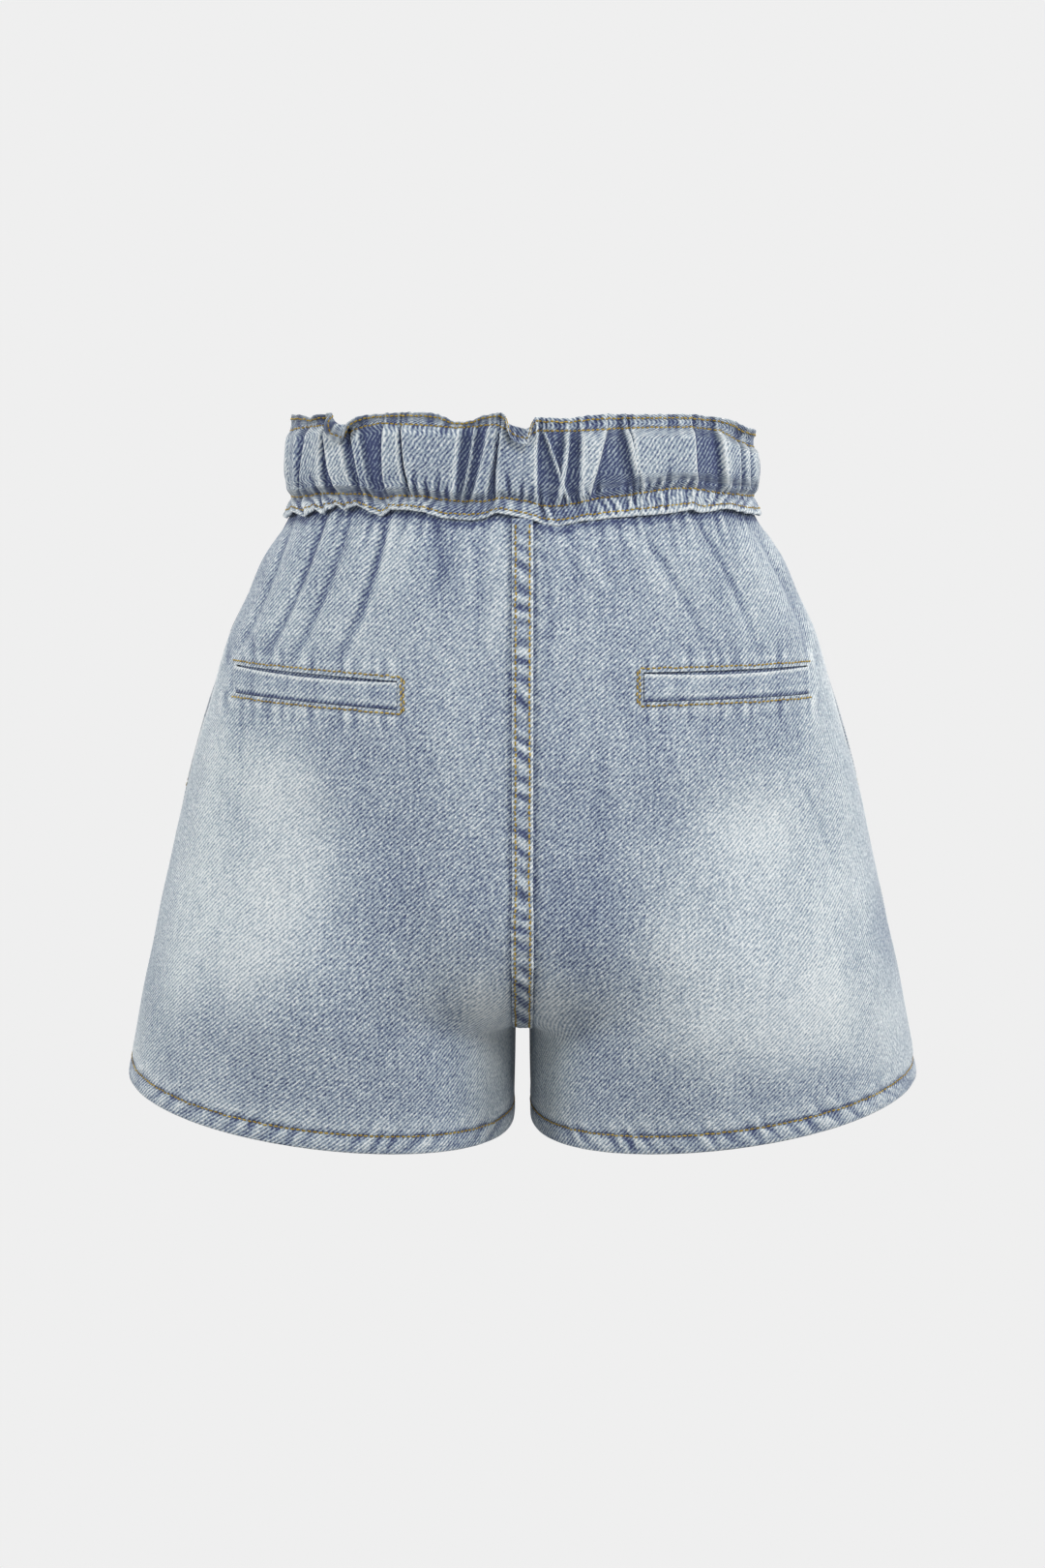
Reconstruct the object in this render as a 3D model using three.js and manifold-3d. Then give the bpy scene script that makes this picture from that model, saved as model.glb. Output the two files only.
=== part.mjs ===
import * as THREE from "three";
import Module from "manifold-3d";

// Denim shorts with a gathered paperbag waist, filled out as when worn and empty inside.
// Millimetres, +Z up. The wearer's back, with the two welt pockets, faces -Y, and -X is the wearer's left.
// The origin is the centre of the elastic casing, where the waist holds the shorts up.

// Heights of the waistband's sewn lines above the origin.
const FRILL_TOP = 28;
const FRILL_BASE = 17.8;
const CASING_BASE = -16;
const BAND_EDGE = -27.5;
const FRONT_DROP = 6; // the waist sits lower at the wearer's front

// Heights on the body of the shorts.
const PANEL_TOP = -20;
const SPREAD_TOP = -165; // below this the hips start to part into two legs
const RISE_TOP = -195; // below this the centre seams start to turn under the crotch
const CROTCH = -286.5;
const HEM = -341.5;
const HEM_DEPTH = 12;
const HEM_TILT = 13.2; // the hem rises this far towards the side seam and drops as far towards the inseam
const HEM_BACK = 7.6; // and drops this far behind and rises as far before
const HEM_LIFT = 5;

// Cloth.
const CLOTH = 1.2;
const SEAM_GAP = 0.3;
const LAYER_GAP = 0.4;
const BAND_CLOTH = 1.8;
const HEM_CLOTH = 2.6;
const LEG_GAP = 8; // between the two legs just under the crotch
const LEG_SPREAD = 1; // how much further each leg has moved out at the hem
const RISE_POWER = 2.5;
const GROOVE = 0.3; // radians over which the cloth turns in to the centre seam
const INSEAM = 0.7; // radians over which the cloth turns in to the inseam
const SEAM_CROWDING = 6; // how closely the cloth's lengthwise lines crowd where the centre seam cuts them

// The body's cross-section at each height: half its width, and how far it reaches behind and before the origin.
const PROFILE = [
  { z: 30, wide: 119, back: 88, front: 86 },
  { z: 4, wide: 120, back: 87, front: 85 },
  { z: -16, wide: 120.2, back: 88, front: 86 },
  { z: -28, wide: 125.5, back: 91.5, front: 89 },
  { z: -45, wide: 137, back: 98, front: 93 },
  { z: -65, wide: 145.5, back: 103.5, front: 96 },
  { z: -85, wide: 155, back: 108, front: 98.5 },
  { z: -115, wide: 164.6, back: 113.5, front: 101 },
  { z: -150, wide: 174.4, back: 118, front: 102 },
  { z: -195, wide: 185.2, back: 120, front: 102.5 },
  { z: -240, wide: 194, back: 118, front: 102 },
  { z: -290, wide: 203.2, back: 113, front: 100 },
  { z: -350, wide: 213, back: 107, front: 97 },
];

const MOST_GATHER = 4.8; // the deepest that gathers together reach

// Gathers of the waistband across the wearer's back: the place of each trough from the centre seam at
// the casing's base, how far it leans sideways by the casing's top, its half width and its depth.
const BACK_GATHERS = [
  { x: -117, lean: -1, half: 3.0, deep: 4.5 },
  { x: -110, lean: -1, half: 3.5, deep: 4.5 },
  { x: -99, lean: -7, half: 4.0, deep: 3.5 },
  { x: -91, lean: -6, half: 3.0, deep: 3.0 },
  { x: -81, lean: -10, half: 5.0, deep: 3.8 },
  { x: -68, lean: -3, half: 5.0, deep: 4.8 },
  { x: -54, lean: -6, half: 2.5, deep: 2.0 },
  { x: -33, lean: 4, half: 4.0, deep: 4.2 },
  { x: -25, lean: 6, half: 3.0, deep: 3.6 },
  { x: -13, lean: 3, half: 3.0, deep: 4.4 },
  { x: 1, lean: -7, half: 2.5, deep: 1.8 },
  { x: 6.5, lean: 1, half: 3.2, deep: 4.4 },
  { x: 15, lean: 7, half: 3.5, deep: 3.0 },
  { x: 28, lean: 2, half: 3.0, deep: 4.2 },
  { x: 35, lean: 7, half: 4.0, deep: 3.4 },
  { x: 50, lean: -6, half: 5.5, deep: 4.4 },
  { x: 57.5, lean: -7, half: 2.2, deep: 2.2 },
  { x: 73, lean: -1, half: 3.0, deep: 1.4 },
  { x: 87, lean: -2, half: 2.6, deep: 4.4 },
  { x: 94, lean: -2, half: 4.0, deep: 3.0 },
  { x: 101, lean: -3, half: 2.4, deep: 4.0 },
  { x: 110, lean: -3, half: 2.6, deep: 3.8 },
  { x: 117, lean: -1, half: 2.6, deep: 4.2 },
];

// Folds that run down from the waistband: where each starts and ends from the centre seam, the height
// where it has faded, its half width and its depth.
const PANEL_FOLDS = [
  { from: -113, to: -152, end: -100, half: 4.5, deep: 3.2 },
  { from: -103, to: -140, end: -108, half: 5.0, deep: 3.4 },
  { from: -90, to: -119, end: -102, half: 5.0, deep: 3.2 },
  { from: -70, to: -92, end: -96, half: 6.0, deep: 3.0 },
  { from: -45, to: -55, end: -84, half: 6.0, deep: 1.8 },
  { from: -27, to: -25, end: -90, half: 6.5, deep: 2.6 },
  { from: 8, to: 12, end: -74, half: 6.0, deep: 1.6 },
  { from: 46, to: 58, end: -80, half: 7.0, deep: 1.8 },
  { from: 87, to: 120, end: -108, half: 5.5, deep: 2.8 },
  { from: 104, to: 137, end: -100, half: 5.0, deep: 2.8 },
  { from: 114, to: 150, end: -98, half: 4.5, deep: 2.8 },
];

// The wearer's front is gathered as evenly as the back, with troughs spaced by a rule.
const FRONT_GATHER_COUNT = 22;
const FRONT_FOLD_COUNT = 10;

// Welt pockets in the back panels: where the window for each starts and ends from the centre seam, its
// height at the inner end, how far it rises to the outer end and how deep it is.
const WELTS = {
  left: { inner: 62.5, outer: 149, top: -105.5, rise: 4.8, deep: 14.6 },
  right: { inner: 60.5, outer: 148, top: -101.2, rise: 0.2, deep: 14.8 },
};
const WELT_GAP = 0.4; // between the welt and its window
const POCKET_GAP = 0.8; // between the panel and the pocket behind it
const SLIT = 2.6; // the open mouth above the welt
const STITCH_MARGIN = 2.6;

// The side seam runs straight down but for the hip pocket, where it is drawn back.
const SIDE_BACK = 0.09;
const SIDE_MIDDLE = -115;
const SIDE_SPAN = 50;

// Slanted hip pockets in the front panels: the mouth runs from this far round the hip down to the side seam.
const MOUTH_BOTTOM = -168;
const MOUTH_SWEEP = 0.3;

// Felled seams at the centre back and centre front.
const FELL = { half: 5.2, thick: 1.2, gap: 0.6 };
const FELL_TOP = -28.5;
const FELL_COLUMNS = 2; // columns of a panel under its half of the seam

const DENIM = { color: 0x93a7bd, roughness: 0.92, metalness: 0 };
const DEEP_DENIM = { color: 0x5b6d93, roughness: 0.92, metalness: 0 };

// Small steps along the surface, for the direction out of it.
const TURN_STEP = 0.002;
const HEIGHT_STEP = 0.4;

const clamp01 = (v) => Math.min(1, Math.max(0, v));
const smooth = (v) => {
  const t = clamp01(v);
  return t * t * (3 - 2 * t);
};
const mix = (a, b, t) => a + (b - a) * t;
const bell = (v) => Math.exp(-v * v);

// One column of the profile at a height, on a smooth curve through its rows.
function profileAt(key, z) {
  const last = PROFILE.length - 1;
  let i = PROFILE.findIndex((row) => row.z <= z) - 1;
  if (i < 0) i = z >= PROFILE[0].z ? 0 : last - 1;
  const [before, above, below, after] = [i - 1, i, i + 1, i + 2].map(
    (k) => PROFILE[Math.min(last, Math.max(0, k))],
  );
  const slope = (a, b) => (a === b ? 0 : (a[key] - b[key]) / (a.z - b.z));
  const step = below.z - above.z;
  const t = clamp01((z - above.z) / step);
  const m0 = slope(before, below) * step;
  const m1 = slope(above, after) * step;
  const t2 = t * t;
  const t3 = t2 * t;
  return (
    (2 * t3 - 3 * t2 + 1) * above[key] +
    (t3 - 2 * t2 + t) * m0 +
    (3 * t2 - 2 * t3) * below[key] +
    (t3 - t2) * m1
  );
}

// A point of one half's cross-section. turn runs from 0 at the back centre (the inseam, below the
// crotch) through 1 at the side seam to 2 at the front centre. Returns x, outwards from the middle, and y.
function section(z, turn) {
  const front = turn > 1;
  const wide = profileAt("wide", z);
  const deep = profileAt(front ? "front" : "back", z);
  const legness = smooth((SPREAD_TOP - z) / (SPREAD_TOP - CROTCH));
  const rise = clamp01((RISE_TOP - z) / (RISE_TOP - CROTCH));
  const seam = deep * Math.pow(1 - Math.pow(rise, RISE_POWER), 1 / RISE_POWER);
  const arch = clamp01((CROTCH - z) / (LEG_GAP / 2));
  const parted = (LEG_GAP / 2) * Math.sqrt(1 - (1 - arch) ** 2);
  const inner = parted + LEG_SPREAD * clamp01((CROTCH - z) / (CROTCH - HEM));
  const centre = wide / 2;
  const radius = wide / 2;
  const start = Math.atan2(seam, radius);
  const reach = (angle) => {
    const c = Math.cos(angle);
    const s = Math.sin(angle);
    const leg = 1 / Math.hypot(c / radius, s / deep);
    const a = (c / wide) ** 2 + (s / deep) ** 2;
    const b = (centre * c) / wide ** 2;
    const hips = (b + Math.sqrt(b * b - a * ((centre / wide) ** 2 - 1))) / a;
    const half = c > 0 ? Math.min(hips, radius / c) : hips;
    return mix(half, leg, legness);
  };
  const share = front ? 2 - turn : turn;
  const waistStart = Math.atan2(deep, radius);
  const even = z > RISE_TOP ? waistStart : waistStart * (1 - smooth((RISE_TOP - z) / (RISE_TOP - HEM)));
  const angle = mix(even, Math.PI, share) + (start - even) * (1 - share) ** SEAM_CROWDING;
  const pull = Math.hypot(radius, seam) - reach(start);
  const r = reach(angle) + pull * bell((angle - start) / GROOVE);
  const y = r * Math.sin(angle);
  const x = centre - r * Math.cos(angle) + (inner + SEAM_GAP / 2) * bell(angle / INSEAM);
  return { x: Math.max(SEAM_GAP / 2, x), y: front ? y : -y };
}

// The turn, on the wearer's back or front, where the hips are x wide of the middle.
function turnAt(x, z, front) {
  const wide = profileAt("wide", z);
  const deep = profileAt(front ? "front" : "back", z);
  const out = Math.min(Math.abs(x), wide * 0.9999);
  const y = deep * Math.sqrt(1 - (out / wide) ** 2);
  const start = Math.atan2(deep, wide / 2);
  const angle = Math.atan2(y, wide / 2 - out);
  const turn = clamp01((angle - start) / (Math.PI - start));
  return front ? 2 - turn : turn;
}

// How far the cloth's own levels move up or down round the ring.
function lift(z, turn) {
  const ahead = (1 - Math.cos((Math.PI * turn) / 2)) / 2;
  const drop = FRONT_DROP * ahead * smooth((z - RISE_TOP) / (BAND_EDGE - RISE_TOP));
  const hang = smooth((RISE_TOP - z) / (RISE_TOP - HEM));
  const tilt = HEM_TILT * Math.cos(Math.PI * turn) + HEM_BACK * Math.sin(Math.PI * turn);
  return (HEM_LIFT - tilt) * hang - drop;
}

// Troughs as places along the ring, in the turn of their own half.
const spread = (count, at) => Array.from({ length: count }, (_, i) => at(i, (i + 0.5) / count));
const FRONT_GATHERS = spread(FRONT_GATHER_COUNT, (i, share) => ({
  x: 121 * Math.sin((share - 0.5) * 2.7 + 0.05 * Math.sin(i * 2.3)),
  lean: 6 * Math.sin(i * 1.7),
  half: 3.2 + Math.sin(i * 2.9),
  deep: 3.4 + 1.2 * Math.sin(i * 4.1),
}));
const FRONT_FOLDS = spread(FRONT_FOLD_COUNT, (i, share) => {
  const across = (share - 0.5) * 2;
  return {
    from: 112 * across,
    to: 146 * across,
    end: -88 - 14 * Math.sin(i * 2.1),
    half: 5.4 + Math.sin(i * 3.3),
    deep: 2.2 + 0.9 * Math.sin(i * 1.9),
  };
});

// The trough depth of the waistband's gathers at a place x across the garment.
function gather(x, z, front) {
  const up = (z - CASING_BASE) / (FRILL_BASE - CASING_BASE);
  const rows = front ? FRONT_GATHERS : BACK_GATHERS;
  const depths = rows.map((g) => g.deep * bell((x - g.x - g.lean * up) / g.half));
  return Math.min(MOST_GATHER, depths.reduce((a, b) => a + b, 0));
}

// How far the band stands off the body at each height: it swells between its sewn lines.
function swell(z) {
  if (z < CASING_BASE) return 0.9 * Math.sin((Math.PI * (z - BAND_EDGE)) / (CASING_BASE - BAND_EDGE));
  if (z < FRILL_BASE) return 3.6 * Math.sin((Math.PI * (z - CASING_BASE)) / (FRILL_BASE - CASING_BASE)) ** 0.7;
  return 3 * ((z - FRILL_BASE) / (FRILL_TOP - FRILL_BASE));
}

// The depth of the folds that run down the panels.
function fold(x, z, front) {
  const rows = front ? FRONT_FOLDS : PANEL_FOLDS;
  const depth = rows.reduce((sum, f) => {
    const down = (BAND_EDGE - z) / (BAND_EDGE - f.end);
    if (down <= 0 || down >= 1.25) return sum;
    const fade = smooth(down / 0.15) * smooth((1.25 - down) / 0.9);
    return sum + f.deep * fade * bell((x - mix(f.from, f.to, down)) / (f.half * (0.8 + down)));
  }, 0);
  return Math.min(4, depth);
}

// A point on the body's base surface. side is -1 for the wearer's left and 1 for the right.
function bodyPoint(side, turn, z) {
  const { x, y } = section(z, turn);
  return new THREE.Vector3(side * x, y, z + lift(z, turn));
}

// A point on the base surface with the direction that leads out of the body there.
function bodyPlace(side, turn, z) {
  const point = bodyPoint(side, turn, z);
  const round = bodyPoint(side, Math.min(2, turn + TURN_STEP), z);
  round.sub(bodyPoint(side, Math.max(0, turn - TURN_STEP), z));
  const up = bodyPoint(side, turn, z + HEIGHT_STEP).sub(bodyPoint(side, turn, z - HEIGHT_STEP));
  const out = round.cross(up).multiplyScalar(side);
  if (Math.abs(point.x) < 1) out.x = 0;
  return { point, out: out.normalize() };
}

// A closed wall of cloth over a grid of places: place(i, j) gives a base point, the direction out of it
// and how far along that the two faces stand. ring joins the last column to the first, and middle is
// the x that the cloth may not cross.
function wall({ columns, rows, place, ring = false, middle = 0 }) {
  const across = ring ? columns : columns + 1;
  const faces = [[], []];
  for (let j = 0; j <= rows; j++) {
    for (let i = 0; i < across; i++) {
      const { point, out, outside, inside } = place(i, j);
      [outside, inside].forEach((depth, face) => {
        const p = point.clone().addScaledVector(out, depth);
        if (middle) p.x = Math.sign(middle) * Math.max(Math.abs(middle), Math.sign(middle) * p.x);
        faces[face].push(...p.toArray());
      });
    }
  }
  const positions = faces.flat();
  const layer = across * (rows + 1);
  const at = (face, i, j) => face * layer + j * across + (ring ? i % across : i);
  const index = [];
  const reach = (a, b) => Math.hypot(...[0, 1, 2].map((k) => positions[a * 3 + k] - positions[b * 3 + k]));
  const quad = (a, b, c, d) =>
    index.push(...(reach(a, c) < reach(b, d) - 1e-4 ? [a, b, c, a, c, d] : [a, b, d, b, c, d]));
  for (let j = 0; j < rows; j++) {
    for (let i = 0; i < columns; i++) {
      quad(at(0, i, j), at(0, i, j + 1), at(0, i + 1, j + 1), at(0, i + 1, j));
      quad(at(1, i, j), at(1, i + 1, j), at(1, i + 1, j + 1), at(1, i, j + 1));
    }
    if (!ring) {
      quad(at(0, 0, j), at(1, 0, j), at(1, 0, j + 1), at(0, 0, j + 1));
      quad(at(0, columns, j), at(0, columns, j + 1), at(1, columns, j + 1), at(1, columns, j));
    }
  }
  for (let i = 0; i < columns; i++) {
    quad(at(0, i, 0), at(0, i + 1, 0), at(1, i + 1, 0), at(1, i, 0));
    quad(at(0, i, rows), at(1, i, rows), at(1, i + 1, rows), at(0, i + 1, rows));
  }
  return facingOut(positions, index);
}

// A geometry from points and faces, turned over if its faces point inwards.
function facingOut(positions, index) {
  const [a, b, c] = [0, 1, 2].map(() => new THREE.Vector3());
  let volume = 0;
  for (let k = 0; k < index.length; k += 3) {
    [a, b, c].forEach((v, n) => v.fromArray(positions, index[k + n] * 3));
    volume += a.dot(b.cross(c));
  }
  if (volume < 0) {
    for (let k = 0; k < index.length; k += 3) {
      [index[k + 1], index[k + 2]] = [index[k + 2], index[k + 1]];
    }
  }
  const geometry = new THREE.BufferGeometry();
  geometry.setAttribute("position", new THREE.Float32BufferAttribute(positions, 3));
  geometry.setIndex(index);
  return geometry;
}

const shorts = new THREE.Group();

function addPiece(name, geometry, finish = DENIM) {
  geometry.computeVertexNormals();
  const mesh = new THREE.Mesh(geometry, new THREE.MeshStandardMaterial(finish));
  mesh.name = name;
  shorts.add(mesh);
}

const wasm = await Module();
wasm.setup();

function solidOf(geometry) {
  const vertProperties = new Float32Array(geometry.attributes.position.array);
  const triVerts = new Uint32Array(geometry.index.array);
  return new wasm.Manifold(new wasm.Mesh({ numProp: 3, vertProperties, triVerts }));
}

// The largest body of a solid, as a geometry.
function geometryOf(solid) {
  const bodies = solid.decompose().sort((p, q) => q.volume() - p.volume());
  const mesh = bodies[0].getMesh();
  return facingOut(Array.from(mesh.vertProperties), Array.from(mesh.triVerts));
}

// Heights of the rows of a panel's grid, closer together at the waist and at the crotch.
const PANEL_LEVELS = [
  PANEL_TOP, BAND_EDGE, -34, -42, -54, -68, -84, -100, -120, -144, MOUTH_BOTTOM + 1.5, -192, -217, -241, -259,
  CROTCH + 19, CROTCH + 11, CROTCH + 6, CROTCH + 2.8, CROTCH + 1.2, CROTCH, CROTCH - 1.2,
  CROTCH - 4, CROTCH - 13, CROTCH - 25, HEM + HEM_DEPTH + SEAM_GAP,
];
const BACK_COLUMNS = 19;
const FRONT_COLUMNS = 14;
const BACK_SHARE = 1.15; // columns stand closer together towards the side seam
const SEAM_TURN = 0.0012; // half of the gap at a seam between two panels, as a turn

// A place on a panel, with its two faces from its base surface.
function panelPlace(side, turn, z, outside, inside) {
  const { point, out } = bodyPlace(side, turn, z);
  const depth = fold(point.x, z, turn > 1);
  return { point, out, outside: outside - depth, inside: inside - depth };
}

function panelWall(side, levels, columns, turnOf, outside, inside) {
  return wall({
    columns,
    rows: levels.length - 1,
    place: (i, j) =>
      panelPlace(side, turnOf(i, levels[j]), levels[j], outside(i), inside(i)),
    middle: (side * SEAM_GAP) / 2,
  });
}

const half = CLOTH / 2;
const sideTurn = (z) => 1 - SIDE_BACK * bell((z - SIDE_MIDDLE) / SIDE_SPAN);

// The turn at which the cloth is as far from the centre seam as the felled seam reaches.
function fellTurn(z, front) {
  const at = (turn) => section(z, front ? 2 - turn : turn);
  const seam = at(0);
  let turn = SEAM_TURN;
  while (turn < 0.1 && Math.hypot(at(turn).x - seam.x, at(turn).y - seam.y) < FELL.half) {
    turn += 0.0005;
  }
  return turn;
}

// The turn of a back panel's column: the first ones lie under the felled seam.
function backTurn(i, z) {
  const edge = fellTurn(z, false);
  if (i <= FELL_COLUMNS) return mix(SEAM_TURN, edge, i / FELL_COLUMNS);
  const u = (i - FELL_COLUMNS) / (BACK_COLUMNS - FELL_COLUMNS);
  return mix(edge, sideTurn(z) - SEAM_TURN, 1 - (1 - u) ** BACK_SHARE);
}

// A patch of a back panel, moved out or in: a pocket's window with its edges moved by the margins given.
function backPatch(side, window, margin, outside, inside) {
  const columns = 8;
  const place = (i, j) => {
    const u = i / columns;
    const across = mix(window.inner - margin.ends, window.outer + margin.ends, u);
    const top = window.top + window.rise * u;
    const z = j ? top - window.deep - margin.bottom : top + margin.top;
    return panelPlace(side, turnAt(across, z, false), z, outside, inside);
  };
  return wall({ columns, rows: 1, place });
}

function backPanel(side, window) {
  const cutter = backPatch(side, window, { ends: 0, top: 0, bottom: 0 }, 6, -6);
  const panel = panelWall(side, PANEL_LEVELS, BACK_COLUMNS, backTurn, () => half, () => -half);
  return geometryOf(solidOf(panel).subtract(solidOf(cutter)));
}

// How far round the hip a pocket's mouth has come at a height.
const mouthWidth = (z) => MOUTH_SWEEP * clamp01((z - MOUTH_BOTTOM) / (BAND_EDGE - MOUTH_BOTTOM));
const mouthTurn = (z) => sideTurn(z) + mouthWidth(z);

// The turn of a front panel's column: the last ones lie under the felled seam.
function frontTurn(i, z) {
  const edge = 2 - fellTurn(z, true);
  const across = FRONT_COLUMNS - FELL_COLUMNS;
  if (i > across) return mix(edge, 2 - SEAM_TURN, (i - across) / FELL_COLUMNS);
  return mix(mouthTurn(z) + SEAM_TURN, edge, i / across);
}

function frontPanel(side) {
  return panelWall(side, PANEL_LEVELS, FRONT_COLUMNS, frontTurn, () => half, () => -half);
}

// The piece that shows in the mouth of the hip pocket, level with the back panel at the side seam and
// under the front panel's first two columns at the mouth.
function hipFacing(side) {
  const levels = PANEL_LEVELS.filter((z) => z > MOUTH_BOTTOM);
  const shown = 4;
  const place = (i, j) => {
    const z = levels[j];
    const open = SEAM_TURN + mix(sideTurn(z), mouthTurn(z), i / shown);
    const closing = 1 - smooth(mouthWidth(z) / 0.05);
    const sunk = -(CLOTH + LAYER_GAP) * Math.max(closing, smooth(i / (shown - 1)));
    return panelPlace(side, i < shown ? open : frontTurn(i - shown, z), z, half + sunk, sunk - half);
  };
  return wall({ columns: shown + 2, rows: levels.length - 1, place });
}

// The welt fills the window below the slit, level with the panel, with the pocket's mouth above it.
function welt(side, window) {
  const margin = { ends: -WELT_GAP, top: -SLIT, bottom: -WELT_GAP };
  return backPatch(side, window, margin, half, -half);
}

// The pocket's own cloth behind the slit and the welt.
function pocketMouth(side, window) {
  const margin = { ends: STITCH_MARGIN, top: STITCH_MARGIN, bottom: STITCH_MARGIN };
  const behind = -half - POCKET_GAP;
  return backPatch(side, window, margin, behind, behind - CLOTH);
}

// Half of the waistband: a double layer, gathered on its elastic, with a frill above it.
const BAND_LEVELS = [FRILL_TOP, 22.5, FRILL_BASE, 11, 0, -11, CASING_BASE, -23, BAND_EDGE];
const BAND_COLUMNS = { back: 112, front: 80 };

function waistband(front) {
  const columns = front ? BAND_COLUMNS.front : BAND_COLUMNS.back;
  const place = (i, j) => {
    const z = BAND_LEVELS[j];
    const round = mix(-1, 1, i / columns);
    const share = Math.min(1 - SEAM_TURN, Math.abs(round));
    const { point, out } = bodyPlace(round < 0 ? -1 : 1, front ? 2 - share : share, z);
    if (i * 2 === columns) point.x = 0;
    const frill = smooth((z - FRILL_BASE) / (FRILL_TOP - FRILL_BASE));
    point.z += frill * 2.2 * Math.sin(i * 0.37 + (front ? 1 : 0));
    const sewn = z < CASING_BASE ? 0.35 : 1;
    const gathered = 1 - (gather(point.x, z, front) / MOST_GATHER) * sewn;
    const wave = 2.4 * frill * Math.sin(i * 0.61);
    const inside = half + LAYER_GAP + (swell(z) + 1.6 * sewn) * gathered + wave;
    return { point, out, outside: inside + BAND_CLOTH, inside };
  };
  return wall({ columns, rows: BAND_LEVELS.length - 1, place });
}

// The turned-up hem of one leg, a ring that carries on the panels' surface.
const HEM_COLUMNS = 56;

function legHem(side) {
  const levels = [HEM + HEM_DEPTH, HEM + HEM_DEPTH / 2, HEM];
  const outside = half + SEAM_GAP;
  const place = (i, j) => ({
    ...bodyPlace(side, (2 * i) / HEM_COLUMNS, levels[j]),
    outside,
    inside: outside - HEM_CLOTH,
  });
  return wall({ columns: HEM_COLUMNS, rows: levels.length - 1, place, ring: true });
}

// A felled seam down the middle: a narrow strip on the panels' own columns, from the waistband to where
// the seam turns under the crotch.
const FELL_LEVELS = [FELL_TOP, ...PANEL_LEVELS.filter((z) => z < FELL_TOP && z > CROTCH)];

function felledSeam(front) {
  const columns = 2 * FELL_COLUMNS;
  const under = half + FELL.gap;
  const place = (i, j) => {
    const z = FELL_LEVELS[j];
    const share = i / FELL_COLUMNS - 1;
    const turn = fellTurn(z, front) * Math.abs(share);
    const side = share < 0 ? -1 : 1;
    const spot = panelPlace(side, front ? 2 - turn : turn, z, under + FELL.thick, under);
    if (share === 0) spot.point.x = 0;
    return spot;
  };
  return wall({ columns, rows: FELL_LEVELS.length - 1, place });
}

for (const [side, name] of [[-1, "left"], [1, "right"]]) {
  addPiece(`back_panel_${name}`, backPanel(side, WELTS[name]));
  addPiece(`front_panel_${name}`, frontPanel(side));
  addPiece(`back_welt_${name}`, welt(side, WELTS[name]));
  addPiece(`back_pocket_${name}`, pocketMouth(side, WELTS[name]), DEEP_DENIM);
  addPiece(`hip_pocket_facing_${name}`, hipFacing(side), DEEP_DENIM);
  addPiece(`leg_hem_${name}`, legHem(side));
}
addPiece("waistband_back", waistband(false));
addPiece("waistband_front", waistband(true));
addPiece("centre_back_seam", felledSeam(false));
addPiece("centre_front_seam", felledSeam(true));

export default shorts;
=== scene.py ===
import math

import bpy
import numpy as np
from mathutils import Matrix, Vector


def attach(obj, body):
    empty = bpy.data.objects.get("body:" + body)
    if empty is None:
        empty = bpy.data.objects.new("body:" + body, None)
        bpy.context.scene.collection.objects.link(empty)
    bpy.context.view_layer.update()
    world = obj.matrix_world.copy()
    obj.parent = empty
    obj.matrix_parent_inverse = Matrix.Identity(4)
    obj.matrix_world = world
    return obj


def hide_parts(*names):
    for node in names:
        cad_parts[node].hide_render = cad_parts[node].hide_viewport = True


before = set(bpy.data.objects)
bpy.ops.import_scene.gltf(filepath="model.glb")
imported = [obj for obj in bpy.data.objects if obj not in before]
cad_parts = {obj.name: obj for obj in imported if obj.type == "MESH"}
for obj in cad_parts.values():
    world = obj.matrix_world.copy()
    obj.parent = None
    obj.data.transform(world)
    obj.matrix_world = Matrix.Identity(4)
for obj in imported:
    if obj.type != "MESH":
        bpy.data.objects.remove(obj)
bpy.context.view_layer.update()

# Denim shorts with a gathered paperbag waist, seen from the wearer's back (-Y).
# Sizes are millimetres while the cloth is worked out, and metres in the meshes.
MM = 0.001

# Sizes, as cut.
FRILL_TOP = 28
FRILL_BASE = 17.8
CASING_BASE = -16
BAND_EDGE = -27.5
FRONT_DROP = 6
PANEL_REACH = -14.5
SPREAD_TOP = -165
RISE_TOP = -195
CROTCH = -286.5
HEM = -341.5
HEM_DEPTH = 10.2
PANEL_BASE = HEM + HEM_DEPTH
HEM_TILT = 13.2
HEM_BACK = 7.6
HEM_LIFT = 5
CLOTH = 1.2
SEAM_GAP = 0.3
LAYER_GAP = 0.4
BAND_CLOTH = 1.8
HEM_CLOTH = 2.6
LEG_GAP = 8
LEG_SPREAD = 1
RISE_POWER = 2.5
GROOVE = 0.3
INSEAM = 0.7
SEAM_CROWDING = 6
SEAM_TURN = 0.0012
SIDE_BACK = 0.09
SIDE_MIDDLE = -115
SIDE_SPAN = 50
MOUTH_BOTTOM = -168
MOUTH_SWEEP = 0.3
FELL_HALF = 5.2
FELL_CLOTH = 1.2
FELL_RISE = 0.6
FELL_TOP = -28.5
WELT_GAP = 0.4
POCKET_GAP = 0.8
SLIT = 2.6
POCKET_MARGIN = 2.6
STITCH = 2.9
TWILL = 0.0017  # metres from rib to rib
THREAD = 0.9
FLATTENED = 0.8  # a stitch's height over its width

# How far each row of stitches lies from the edge that it holds, and the dip that it pulls.
HEM_ROW = 9.5
HEM_DIP = 9.6
FELL_ROW = 3.4
WELT_ROW = 1.9
MOUTH_ROWS = (2.2, 8.0)
TOP_ROW = 3.0
CASING_ROW = 0.6
BAND_ROW = 3.4
WAIST_STITCH = 2.6
DIP, DIP_HALF = 0.38, 1.1

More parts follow.
